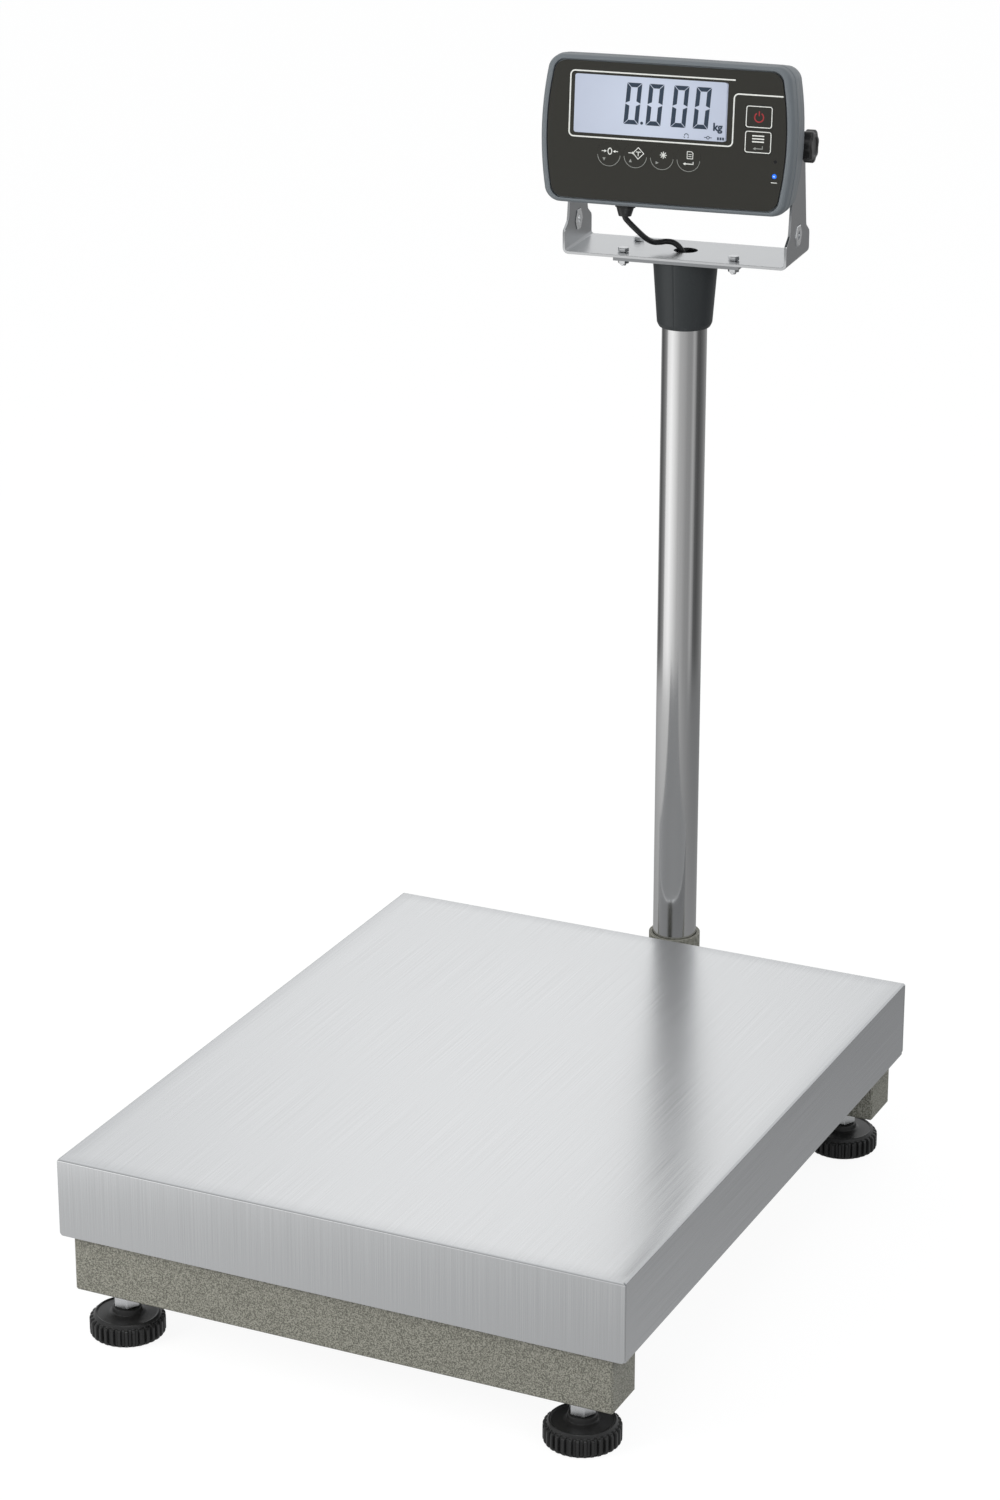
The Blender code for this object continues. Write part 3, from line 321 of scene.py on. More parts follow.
# %% Finishes of this scale
FINISHES = (
    # name, colour, roughness, metallic, cells a metre, detail, swing of colour, of roughness, lift
    ("brushed_sheet", (0.70, 0.71, 0.72), 0.25, 1.0, (1500, 8, 1), 3, 0.15, 0.04, 0.0004),
    # The pan's bend: its lower roughness is real, and its paler colour is a painted highlight along the fold.
    ("smooth_fold_painted_highlight", (0.82, 0.83, 0.84), 0.09, 1.0, (1500, 8, 1), 3, 0.06, 0.02, 0),
    ("brushed_bracket", (0.68, 0.69, 0.70), 0.25, 1.0, (20, 1800, 1800), 3, 0.05, 0.04, 0.001),
    # The ears are the bracket's own steel in a darker colour: painted shade on the faces that lie across the tilt
    # axis.
    ("brushed_ears_painted_shade", (0.38, 0.39, 0.40), 0.30, 1.0, (1800, 1800, 20), 3, 0.07, 0.05, 0.001),
    ("drawn_tube", (0.66, 0.66, 0.66), 0.13, 1.0, (2500, 2500, 6), 2, 0.04, 0.02, 0.0002),
    ("zinc_plating", (0.82, 0.83, 0.84), 0.24, 1.0, 500, 3, 0.07, 0.06, 0.006),
    ("flange_zinc", (0.36, 0.37, 0.38), 0.32, 1.0, 500, 3, 0.08, 0.06, 0.006),
    ("zinc_stem", (0.50, 0.51, 0.52), 0.34, 1.0, (40, 40, 4200), 0, 0.10, 0.06, 0.12),
    ("milled_aluminium", (0.62, 0.63, 0.65), 0.38, 1.0, (60, 1800, 1800), 3, 0.06, 0.06, 0.006),
    ("black_moulding", (0.017, 0.017, 0.017), 0.31, 0, 1600, 2, 0.25, 0.08, 0.02),
    ("buffer_rubber", (0.020, 0.020, 0.020), 0.82, 0, 900, 2, 0.2, 0.05, 0.02),
    ("collar_moulding", (0.025, 0.029, 0.031), 0.44, 0, 2200, 2, 0.10, 0.06, 0.02),
    ("housing_moulding", (0.155, 0.173, 0.187), 0.38, 0, 2600, 2, 0.06, 0.05, 0.012),
    ("film", (0.026, 0.0253, 0.021), 0.46, 0, 1500, 3, 0.10, 0.05, 0.010),
    ("board_mask", (0.02, 0.16, 0.06), 0.45, 0, 300, 2, 0.15, 0.05, 0.01),
    ("battery_wrap", (0.08, 0.09, 0.12), 0.45, 0, 700, 2, 0.10, 0.05, 0.01),
    ("cable_jacket", (0.016, 0.016, 0.017), 0.36, 0, 900, 2, 0.2, 0.06, 0.015),
    ("print_pale", (0.78, 0.79, 0.75), 0.55, 0, 900, 2, 0.05, 0.03, 0),
    ("print_grey", (0.30, 0.31, 0.29), 0.55, 0, 900, 2, 0.05, 0.03, 0),
    ("print_red", (0.34, 0.030, 0.035), 0.5, 0, 900, 2, 0.05, 0.03, 0),
    ("segment_ink", (0.024, 0.040, 0.066), 0.40, 0, 700, 2, 0.10, 0.03, 0),
    ("sensor_lens", (0.006, 0.006, 0.007), 0.15, 0, 900, 2, 0.1, 0.03, 0),
    ("light_core", (0.55, 0.75, 1.0), 0.3, 0, 900, 2, 0.05, 0.03, 0),
    ("led_lens", (0.02, 0.10, 0.70), 0.18, 0, 900, 2, 0.1, 0.04, 0),
)
for row in FINISHES:
    finish(*row)
print("finishes:", len(MATERIALS))


# %% Hammered paint, and display glass with a painted glow
# Painted glow: the display is drawn brighter towards its middle, and this sets how far that painted light reaches.
PAINTED_GLOW_SCALE = 18              # one over the radius of the display's bright middle, per metre


def parts_of(material):
    """The node tree and shader of a finish, and a way to find its other nodes."""
    tree = material.node_tree
    return tree, tree.nodes["Principled BSDF"], lambda kind: next(
        node for node in tree.nodes if node.bl_idname == "ShaderNode" + kind)


def hammered_paint():
    """Powder coat: the noise's middle band is stretched, so that pale crests stand sharply out of
    dark pits, as they do where the coat has drawn together."""
    tree, shader, found = parts_of(finish("hammered_paint", (0.27, 0.268, 0.225), 0.55, 0, 1150, 2,
                                          0.20, 0.10, 0.12))
    band = add(tree, "MapRange", {"Value": found("TexNoise").outputs["Fac"], "From Min": 0.38,
                                  "From Max": 0.62})
    tree.links.new(blend(tree, band.outputs[0], (0.110, 0.108, 0.088, 1), (0.34, 0.335, 0.285, 1)),
                   shader.inputs["Base Color"])


def display_glass():
    """Display glass: pale lavender with a painted glow, a little brighter towards its middle by a radial falloff
    from the centre of the glass, and a faint light of its own, though it is no lamp."""
    middle = sum(np.array(corner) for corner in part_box("display_module")) / 2
    tree, shader, found = parts_of(finish("display_glass", (0.44, 0.48, 0.58), 0.22, 0, 60, 1,
                                          0.03, 0.02, 0))
    mapping = add(tree, "Mapping", {"Vector": found("TexCoord").outputs["Object"],
                                    "Location": tuple(-middle * PAINTED_GLOW_SCALE),
                                    "Scale": (PAINTED_GLOW_SCALE, PAINTED_GLOW_SCALE, PAINTED_GLOW_SCALE)})
    fall = add(tree, "TexGradient", {"Vector": mapping.outputs[0]}, gradient_type="SPHERICAL")
    base = shader.inputs["Base Color"].links[0].from_socket
    tree.links.new(blend(tree, fall.outputs["Fac"], base, (0.54, 0.59, 0.70, 1)),
                   shader.inputs["Base Color"])
    # Painted glow: the glass gives off a faint light, though it is no lamp.
    shader.inputs["Emission Color"].default_value = (0.60, 0.67, 0.82, 1)
    shader.inputs["Emission Strength"].default_value = 0.10


hammered_paint()
display_glass()
print("finishes with crests and falloff: 2")

# %% [markdown]
# ## Mesh helpers
# New pieces are grids of points. A grid is worked out as one numpy array, and its cells become
# quads. A turned piece is such a grid too: its rows are the profile and its columns the angle.
# Profiles, widths and everything on the head are in millimetres, and places are in metres.


# %% Grids
def grid_faces(rows, columns, wrap_rows=False, wrap_columns=False):
    """Cell (i, j) joins the points (i, j), (i, j+1), (i+1, j+1) and (i+1, j)."""
    i, j = np.meshgrid(np.arange(rows if wrap_rows else rows - 1),
                       np.arange(columns if wrap_columns else columns - 1), indexing="ij")
    down, right = (i + 1) % rows, (j + 1) % columns
    quads = (i * columns + j, i * columns + right, down * columns + right, down * columns + j)
    return np.stack(quads, axis=-1).reshape(-1, 4)


def capped_faces(rows, columns):
    """The cells of a grid that is closed round its columns, and a face on each end row."""
    last = (rows - 1) * columns
    return [*grid_faces(rows, columns, False, True), range(columns)[::-1],
            range(last, last + columns)]


def smooth(mesh, material):
    """The mesh's finish, and smooth shading up to its sharp edges."""
    mesh.materials.append(MATERIALS[material])
    mesh.shade_smooth()
    mesh.set_sharp_from_angle(angle=math.radians(38))


def make_piece(name, points, faces, material, tidy=True, uv=None):
    """An object from points and faces, with its doubles merged and smooth shading."""
    mesh = bpy.data.meshes.new(name)
    mesh.from_pydata(np.asarray(points, float).reshape(-1, 3).tolist(), [],
                     [list(map(int, face)) for face in faces])
    if uv is not None:
        layer = mesh.uv_layers.new(name="sheet")
        corner = np.empty(len(mesh.loops), np.int32)
        mesh.loops.foreach_get("vertex_index", corner)
        layer.data.foreach_set("uv", np.asarray(uv, np.float32).reshape(-1, 2)[corner].ravel())
    bm = bmesh.new()
    bm.from_mesh(mesh)
    bmesh.ops.remove_doubles(bm, verts=bm.verts, dist=1e-6)
    if tidy:
        bmesh.ops.recalc_face_normals(bm, faces=bm.faces)
    bm.to_mesh(mesh)
    bm.free()
    smooth(mesh, material)
    return linked(name, mesh)


def placed(points, matrix):
    """Points moved by a 4 x 4 matrix: p' = R p + t, for the whole array at once."""
    m = np.array(matrix)
    return np.asarray(points) @ m[:3, :3].T + m[:3, 3]


def fillet(profile, radius, steps=5):
    """Rounds the corners of an open profile: each inner corner becomes an arc-like curve between
    two points set back from it, p(t) = (1-t)^2 a + 2t(1-t) c + t^2 b."""
    profile = np.asarray(profile, float)
    out = [profile[:1]]
    t = np.linspace(0, 1, steps)[:, None]
    for before, corner, after in zip(profile, profile[1:], profile[2:]):
        back, ahead = before - corner, after - corner
        set_back = min(radius, 0.45 * np.linalg.norm(back), 0.45 * np.linalg.norm(ahead))
        a = corner + back / np.linalg.norm(back) * set_back
        b = corner + ahead / np.linalg.norm(ahead) * set_back
        out.append((1 - t) ** 2 * a + 2 * t * (1 - t) * corner + t ** 2 * b)
    out.append(profile[-1:])
    return np.concatenate(out)


def around(columns):
    """Angles of the columns round a turned piece."""
    return np.linspace(0, 2 * np.pi, columns, endpoint=False)


def spread(*coordinates):
    """Points from coordinates that are broadcast against each other."""
    return np.stack(np.broadcast_arrays(*coordinates), axis=-1)


def turned_piece(name, profile, matrix, material, columns=96, shape=1.0, wrap=False):
    """Rows (height, radius) spun about the matrix's Z axis: x = r s(a) cos a, y = r s(a) sin a,
    z = height, where s is the section's radius factor at angle a, one row of factors for each
    profile point. Without wrap, its ends meet on the axis."""
    profile, angles = np.asarray(profile, float), around(columns)
    r = profile[:, 1:] * shape
    grid = spread(r * np.cos(angles), r * np.sin(angles), profile[:, :1])
    faces = grid_faces(len(grid), columns, wrap, True)
    return make_piece(name, placed(grid * MM, matrix), faces, material)


def stands_for(piece, *nodes):
    """The piece takes the place of these nodes and rides on their body."""
    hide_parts(*nodes)
    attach(piece, BODY_OF[nodes[0]])
    return piece


def soften(piece, width, segments=2, angle=32):
    """Rounds the sharp edges by a live Bevel."""
    bevel = piece.modifiers.new("edges", "BEVEL")
    bevel.width = width * MM
    bevel.segments = segments
    bevel.limit_method = "ANGLE"
    bevel.angle_limit = math.radians(angle)
    bevel.harden_normals = True
    return piece


def refined(node, material, width=0.25):
    """A copy of a CAD node: triangles merged into flat faces, edges rounded, shading smooth."""
    bm = bmesh.new()
    bm.from_mesh(frame["nodes"][node].data)
    bmesh.ops.remove_doubles(bm, verts=bm.verts, dist=2e-6)
    bmesh.ops.dissolve_limit(bm, angle_limit=math.radians(1), verts=bm.verts, edges=bm.edges)
    bmesh.ops.recalc_face_normals(bm, faces=bm.faces)
    mesh = bpy.data.meshes.new(f"{node}_finished")
    bm.to_mesh(mesh)
    bm.free()
    smooth(mesh, material)
    piece = linked(f"{node}_finished", mesh)
    if width:
        soften(piece, width)
    return stands_for(piece, node)


def second_finish(piece, material, chosen):
    """Gives another finish to the faces whose normals are chosen."""
    mesh = piece.data
    mesh.materials.append(MATERIALS[material])
    facing = np.empty((len(mesh.polygons), 3))
    mesh.polygons.foreach_get("normal", facing.ravel())
    mesh.polygons.foreach_set("material_index", chosen(facing).astype(np.int32))


print("helpers ready")

# %% [markdown]
# ## Weighing pan
# The cover is one sheet, folded down at its four sides. Its corners are left open, so the front
# skirt laps the side skirts and its lower corners are rounded. One grid wraps the sheet from the
# front skirt over the top to the rear skirt, and two more fold down at the sides. Solidify
# then gives the sheet its gauge.

# %% Pan
SHEET = 1.5 * MM
BEND = 1.6 * MM
CORNER = 2.6 * MM


def bend_arc(steps=8):
    """Angles of a quarter bend, from the skirt to the top."""
    return np.linspace(0, np.pi / 2, steps + 1)


def build_pan():
    """Front, top and rear are one strip: y and z follow the folded profile, and x = u h(s), where
    the half width h is full on the skirts, rounded at their low corners, and shrinks through the
    bend to leave room for the side bends. The grain's coordinate is the length along the fold."""
    hx, hy = (PAN_HIGH - PAN_LOW)[:2] / 2
    low, top = PAN_LOW[2], PAN_HIGH[2]
    arc = bend_arc()
    rise = low + np.concatenate([CORNER * (1 - np.cos(bend_arc(6))), [0.02]])
    skirt_h = hx - CORNER + np.concatenate([CORNER * np.sin(bend_arc(6)), [CORNER]])
    y = np.concatenate([np.full(len(rise), -hy), -hy + BEND * (1 - np.cos(arc))])
    z = np.concatenate([rise, top - BEND + BEND * np.sin(arc)])
    h = np.concatenate([skirt_h, hx - BEND * np.sin(arc) ** 2])
    middle = np.linspace(-hy + BEND, hy - BEND, 41)
    y = np.concatenate([y, middle[1:-1], -y[::-1]])
    z = np.concatenate([z, np.full(len(middle) - 2, top), z[::-1]])
    h = np.concatenate([h, np.full(len(middle) - 2, hx - BEND), h[::-1]])
    u = np.linspace(-1, 1, 33)
    along = np.concatenate([[0], np.cumsum(np.hypot(np.diff(y), np.diff(z)))])
    strip = spread(u * h[:, None], y[:, None], z[:, None])
    strip_uv = spread(strip[..., 0], along[:, None])
    points, uv = [strip.reshape(-1, 3)], [strip_uv.reshape(-1, 2)]
    faces = [grid_faces(len(y), len(u))]
    fold_x = np.concatenate([[hx] * 2, hx - BEND + BEND * np.cos(arc[1:])])
    fold_z = np.concatenate([[low, low + 0.02], top - BEND + BEND * np.sin(arc[1:])])
    fold_z = np.insert(fold_z, 2, top - BEND)
    fold_x = np.insert(fold_x, 2, hx)
    run = np.concatenate([[0], np.cumsum(np.hypot(np.diff(fold_x), np.diff(fold_z)))])
    reach = hy - SHEET - 0.3 * MM
    for side in (1, -1):
        line = side * np.concatenate([[-reach], middle[1:-1], [reach]])
        flap = spread(side * fold_x[:, None], line, fold_z[:, None])
        flap_uv = spread(1 + side * run[:, None], line + hy)
        faces.append(grid_faces(len(fold_x), len(line)) + sum(len(p) for p in points))
        points.append(flap.reshape(-1, 3))
        uv.append(flap_uv.reshape(-1, 2))
    piece = make_piece("pan_cover", placed(np.concatenate(points), BASE), np.concatenate(faces),
                       "brushed_sheet", tidy=False, uv=np.concatenate(uv))
    # The front and rear bends take the fold finish: smoother as a fold is, paler as a painted highlight.
    second_finish(piece, "smooth_fold_painted_highlight", lambda facing: (np.abs(facing[:, 1:]) > 0.05).all(axis=1))
    wall = piece.modifiers.new("gauge", "SOLIDIFY")
    wall.thickness = SHEET
    wall.offset = -1
    wall.use_rim = True
    soften(piece, 0.12, 1, 60)
    return stands_for(piece, "weighing_pan")


build_pan()
print("pan:", [round(float(s), 3) for s in PAN_HIGH - PAN_LOW])

# %% [markdown]
# ## Feet
# Each foot is a moulded disc with upright ribs round its rim and a shallow dish on top, on a
# threaded stem with a lock nut. The ribs are a smooth wave of the radius: it is pushed towards a
# square shape, so that ribs and grooves have flanks.

# %% Feet
RIBS, RIB_FOOT, RIB_DEPTH = 32, 22.4, 1.9
CORNERS = ("front_left", "front_right", "rear_left", "rear_right")


def build_foot_disc(corner):
    """Radius = profile radius - groove depth x g(a), where g is a clipped cosine of the angle."""
    low, high = (np.array(v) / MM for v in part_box(f"foot_disc_{corner}"))
    full, hub_top = (high - low)[0] / 2, high[2]
    profile = fillet([(0, 0), (0, full - 3.0), (1.0, full - 0.9), (2.2, full), (11.6, full),
                      (12.8, full - 1.0), (12.9, 22.8), (14.4, 22.0), (15.5, 21.2), (15.5, 20.4),
                      (14.7, 19.6), (15.3, 12.0), (16.2, 9.9), (19.4, 9.5), (hub_top, 8.8),
                      (hub_top, 5.4), (5.0, 5.3), (5.0, 0)], 0.5, 4)
    columns = RIBS * 12
    groove = 0.5 + 0.5 * np.clip(2.4 * np.cos(RIBS * around(columns)) - 0.2, -1, 1)
    radius = profile[:, 1:]
    on_rim = np.clip((radius - RIB_FOOT) / 1.4, 0, 1)
    shape = 1 - on_rim * groove * RIB_DEPTH / np.maximum(radius, 1)
    matrix = Matrix.Translation((*(low + high)[:2] / 2 * MM, 0))
    disc = turned_piece(f"foot_disc_moulding_{corner}", profile, matrix, "black_moulding", columns,
                        shape)
    return stands_for(disc, f"foot_disc_{corner}")


for corner in CORNERS:
    build_foot_disc(corner)
    refined(f"foot_stem_{corner}", "zinc_stem", 0)
    refined(f"foot_lock_nut_{corner}", "zinc_plating", 0.35)
print("feet:", len(CORNERS), "with", RIBS, "ribs each")

# %% [markdown]
# ## Base and what it carries
# The welded base and the column socket keep the model's own shape, with rounded edges and the
# hammered coat. The load cell, its spacers and the load frame are only seen from below.

# %% Base, load cell and load frame
refined("base_frame", "hammered_paint", 0.8)
refined("column_socket", "hammered_paint", 0.5)
refined("load_cell", "milled_aluminium", 0.3)
refined("load_frame", "zinc_plating", 0.4)
for end in ("lower", "upper"):
    refined(f"cell_spacer_{end}", "zinc_plating")
for corner in CORNERS:
    refined(f"buffer_{corner}", "buffer_rubber", 0.4)
BOLTS = ["column_clamp_screw", "socket_bolt_left", "socket_bolt_right"]
BOLTS += [f"cell_bolt_{end}_{side}" for end in ("fixed", "free") for side in ("left", "right")]
BOLTS += [f"flange_bolt_{place}" for place in ("front_left", "front_right", "rear_left")]
for bolt in BOLTS:
    refined(bolt, "zinc_plating", 0.2)
print("base pieces done,", len(BOLTS), "bolts")

# %% [markdown]
# ## Column
# The tube is drawn stainless steel with a bright finish, so it is smooth enough to mirror the
# room in long stripes. The collar is a tapered moulding with a chamfered foot and a fine seam
# that faces the front.

# %% Column, collar, flange and bracket
COLLAR_LOW, COLLAR_HIGH = (v[2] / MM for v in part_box("column_collar"))
TUBE_LOW, TUBE_HIGH = (v[2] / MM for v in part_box("column_tube"))
TUBE_RADIUS, TUBE_BORE, TUBE_LIP = 16.0, 14.5, 0.3
SEAM_AT, SEAM_WIDTH, SEAM_DEPTH = 1.5 * np.pi - 0.10, 0.020, 0.014


def build_tube():
    """Outside up, round the lip, and down the bore again."""
    edge = TUBE_RADIUS - TUBE_LIP
    profile = [(TUBE_LOW, TUBE_BORE), (TUBE_LOW, edge), (TUBE_LOW + TUBE_LIP, TUBE_RADIUS),
               (TUBE_HIGH - TUBE_LIP, TUBE_RADIUS), (TUBE_HIGH, edge), (TUBE_HIGH, TUBE_BORE)]
    return stands_for(turned_piece("column_tube_drawn", profile, COLUMN, "drawn_tube", 128,
                                   wrap=True), "column_tube")


def build_collar():
    """A cone with a chamfer. The seam is a narrow dip of the radius at the front:
    factor = 1 - d exp(-((a - a0) / w)^2)."""
    bore = TUBE_RADIUS + 0.3
    outer = fillet([(COLLAR_LOW, bore), (COLLAR_LOW, 18.0), (COLLAR_LOW + 3.2, 19.6),
                    (COLLAR_HIGH - 1.0, 22.95), (COLLAR_HIGH, 22.6), (COLLAR_HIGH, bore)], 0.8)
    columns = 256
    seam = 1 - SEAM_DEPTH * np.exp(-((around(columns) - SEAM_AT) / SEAM_WIDTH) ** 2)
    shape = np.where(outer[:, 1:] > 17, seam, 1.0)
    return stands_for(turned_piece("column_collar_moulding", outer, COLUMN, "collar_moulding",
                                   columns, shape, wrap=True), "column_collar")


build_tube()
build_collar()
refined("head_flange", "flange_zinc", 0.3)
# The faces across the tilt axis take the darker copy of the bracket's steel: painted shade.
second_finish(refined("head_bracket", "brushed_bracket"), "brushed_ears_painted_shade",
              lambda facing: np.abs(facing @ np.array(AXIS)) > 0.5)
for side in ("left", "right"):
    refined(f"ear_insert_{side}", "zinc_plating", 0.2)
print(f"tube {(TUBE_HIGH - TUBE_LOW) * MM:.3f} m long")

# %% [markdown]
# ## Clamping knobs
# Each knob is a small moulded grip with seven rounded lobes. The lobes fade out on its hub, so
# the cosine of the angle is weighted by how far out the profile is.

# %% Knobs
LOBES, LOBE_HEIGHT = 7, 0.075


def build_knob(side):
    """Radius = profile radius x (1 + w 0.075 cos 7a), with w rising from hub to rim."""
    sign = 1 if side == "right" else -1
    seat, stud = 81.4, 3.0
    profile = fillet([(69.6, 0), (69.6, 2.4), (70.2, stud), (seat, stud), (seat, 7.0),
                      (seat + 1.8, 7.4), (seat + 2.0, 10.0), (seat + 2.9, 10.8), (seat + 8.6, 10.8),
                      (seat + 9.8, 9.8), (seat + 9.9, 6.6), (seat + 9.0, 6.0), (seat + 9.0, 0)],
                     0.5, 4)
    weight = np.clip((profile[:, 1:] - 8.2) / 1.5, 0, 1)
    shape = 1 + weight * LOBE_HEIGHT * np.cos(LOBES * around(140))
    matrix = (COLUMN @ Matrix.Translation((0, 0, PIVOT.z))
              @ Matrix.Rotation(sign * math.pi / 2, 4, "Y"))
    knob = turned_piece(f"tilt_knob_moulding_{side}", profile, matrix, "black_moulding", 140, shape)
    return stands_for(knob, f"tilt_knob_{side}")


for side in ("left", "right"):
    build_knob(side)
print("knobs with", LOBES, "lobes")

# %% [markdown]
# ## Indicator housing
# The front shell is a shallow dish with swollen sides, a round bezel and a pocket for the printed
# film. The rear shell steps in behind the joint, to stand between the bracket's ears. Both are
# grids: the columns go round the outline and the rows go back through the depth.

# %% Outline of the head
FACE_Y, FACE_Z = -54, 7.1
FACE_HALF = (90.6, 51.1)
FILM_HALF = (84.6, 47.0)
CREASE_Y, SPLIT_Y, SHOULDER_Y, REAR_Y = -45.0, -34.5, -19.2, 14
REAR_HALF = (76.4, FACE_HALF[1] - 3.3)
GAP = 0.3
BULGE = (5.4, 0.4)
ROUND, ROUND_LEAST = 9.5, 6.2


def corner_radius(half_x):
    """Smaller on the smaller outlines: r = R - 0.6 (W - w), but at least 6.2 mm."""
    return max(ROUND_LEAST, ROUND - 0.6 * (FACE_HALF[0] - half_x))


def outline(half_x, half_z, arc=14, side=14):
    """Rounded rectangle with swollen sides, as one loop of points. Four arcs are joined by
    straight runs, then x grows by b (1 - (z/h)^2) and z by c (1 - (x/w)^2)."""
    w, h = half_x - BULGE[0], half_z - BULGE[1]
    radius = corner_radius(half_x)
    loops = []
    for quarter, (sx, sz) in enumerate(((1, 1), (-1, 1), (-1, -1), (1, -1))):
        a = np.linspace(0, np.pi / 2, arc) + quarter * np.pi / 2
        loops.append(spread(sx * (w - radius) + radius * np.cos(a),
                            sz * (h - radius) + radius * np.sin(a)))
    out = []
    fraction = np.linspace(0, 1, side + 2)[1:-1, None]
    for loop, following in zip(loops, loops[1:] + loops[:1]):
        out += [loop, loop[-1] + fraction * (following[0] - loop[-1])]
    x, z = np.concatenate(out).T
    grow_x = BULGE[0] / w * np.clip(1 - (z / h) ** 2, 0, 1)
    grow_z = BULGE[1] / h * np.clip(1 - (x / w) ** 2, 0, 1)
    return spread(x * (1 + grow_x), z * (1 + grow_z))


def on_head(points):
    """Millimetres in the head's frame, as places in the scene."""
    return placed(np.asarray(points) * MM, HEAD)


def on_face(loop, depth):
    """Points (u, v) on the face as (x, depth, z) in the head's frame."""
    u, v = np.asarray(loop, float).T
    return spread(u, depth, FACE_Z + v)


def shell_piece(name, rows, material, node):
    """A closed shell: each row is (depth, half width, half height) of one outline."""
    loops = [on_face(outline(hx, hz), y) for y, hx, hz in rows]
    faces = capped_faces(len(loops), len(loops[0]))
    return stands_for(make_piece(name, on_head(np.concatenate(loops)), faces, material), node)


def inside(depth, half, *rows):
    """Rows that lie so far behind a depth and so far inside the half sizes."""
    return [(depth + back, half[0] - dx, half[1] - dz) for back, dx, dz in rows]


def bezel_rows():
    """The pocket, then the bezel as a quarter ellipse from the flat rim to the crease. Behind the
    crease the side is flat and leans in a little to the chamfer at the joint, then the inside."""
    arc = [(5.0 * (1 - math.cos(a)), 0.6 + 3.0 * (1 - math.sin(a)), 0.3 + 2.2 * (1 - math.sin(a)))
           for a in np.linspace(0, np.pi / 2, 10)]
    return [*inside(FACE_Y, FILM_HALF, (2.2, -0.75, -0.75), (0.45, -0.75, -0.75),
                    (0.15, -0.85, -0.85), (0, -1.1, -1.1)),
            *inside(FACE_Y, FACE_HALF, *arc),
            *inside(CREASE_Y, FACE_HALF, (-0.45, 0.25, 0.1), (-0.1, 0.6, 0.45), (0.15, 0.1, 0),
                    (0.4, 0, 0)),
            *inside(SPLIT_Y, FACE_HALF, (-0.9, 0.7, 0.4), (-0.3, 1.2, 0.9), (0, 2.2, 1.9),
                    (0, 3.4, 3.4)),
            *inside(FACE_Y, FACE_HALF, (4, 3.4, 3.4))]


def rear_rows():
    """Inside wall, joint face, the wide band behind the joint, the step, the tapered back."""
    joint = SPLIT_Y + GAP
    arc = [(5.5 * math.sin(a) - 5.5, 1.8 + 7.0 * (1 - math.cos(a)), 3.0 + 7.0 * (1 - math.cos(a)))
           for a in np.linspace(0, np.pi / 2, 8)]
    return [*inside(REAR_Y, REAR_HALF, (-2.6, 9, 10), (-8, 5, 5)),
            *inside(joint, REAR_HALF, (0, 3.4, 3.7)),
            *inside(joint, FACE_HALF, (0, 3.0, 2.9), (0.6, 2.0, 1.9), (1.2, 1.8, 1.7)),
            *inside(SHOULDER_Y, FACE_HALF, (-1.0, 2.2, 2.1), (-0.2, 2.8, 2.4)),
            *inside(SHOULDER_Y, REAR_HALF, (0.3, -2.0, -0.4), (0.8, 0, 0)),
            *inside(REAR_Y, REAR_HALF, (-10, 0.6, 1.2), *arc)]


shell_piece("front_shell_moulding", bezel_rows(), "housing_moulding", "head_front_shell")
shell_piece("rear_shell_moulding", rear_rows(), "housing_moulding", "head_rear_shell")
print("housing rows:", len(bezel_rows()), "and", len(rear_rows()))


# %% Bosses, screw wells and gland of the head
def turned_on_head(name, profile, across, material, axis="Y", columns=48):
    """A turned detail whose axis is the head's X, Y or Z, at its place across that axis."""
    turns = {"X": Matrix.Rotation(math.pi / 2, 4, "Y"), "Y": Matrix.Rotation(-math.pi / 2, 4, "X"),
             "Z": Matrix.Identity(4)}
    places = {"X": (0, *across), "Y": (across[0], 0, across[1]), "Z": (*across, 0)}
    matrix = HEAD @ Matrix.Translation(Vector(places[axis]) * MM) @ turns[axis]
    return turned_piece(name, profile, matrix, material, columns)


for side, sign in (("left", -1), ("right", 1)):
    boss = [(sign * 60, 0), (sign * 60, 8), (sign * 78.2, 8),
            (sign * 78.7, 7.5), (sign * 78.7, 3.4), (sign * 70, 3.3),
            (sign * 70, 0)]
    detail = turned_on_head(f"pivot_boss_{side}", boss, (0, 0), "housing_moulding", "X")
    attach(detail, "head")
for index, (x, z) in enumerate(((-1, -1), (1, -1), (1, 1), (-1, 1))):
    ring = fillet([(REAR_Y - 4, 0), (REAR_Y - 4, 5.6), (REAR_Y + 0.0, 5.6),
                   (REAR_Y + 0.1, 5.0), (REAR_Y - 0.4, 3.4),
                   (REAR_Y - 3.4, 3.2), (REAR_Y - 3.4, 0)], 0.3, 3)
    well = turned_on_head(f"screw_well_{index}", ring, (x * 56, FACE_Z + z * 30),
                          "black_moulding")
    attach(well, "head")
refined("charger_socket", "black_moulding", 0.25)
refined("cable_gland", "black_moulding", 0.3)
refined("main_board", "board_mask", 0)
refined("battery_pack", "battery_wrap", 0.4)
print("head details done")

# %% [markdown]
# ## Film, keys and light
# A printed film fills the pocket of the bezel. The keys are pads that stand flush in it. The
# print is thin ink: flat strokes a twentieth of a millimetre proud of the film. It stays generic,
# with signs for the keys and plain numbers on the display.


# %% Film, key pads, display and light
FILM_FRONT = FACE_Y + 0.1
PAD, PAD_RADIUS = 0.7, 8.62
INK_PROUD, INK_THICK = 0.05, 0.04


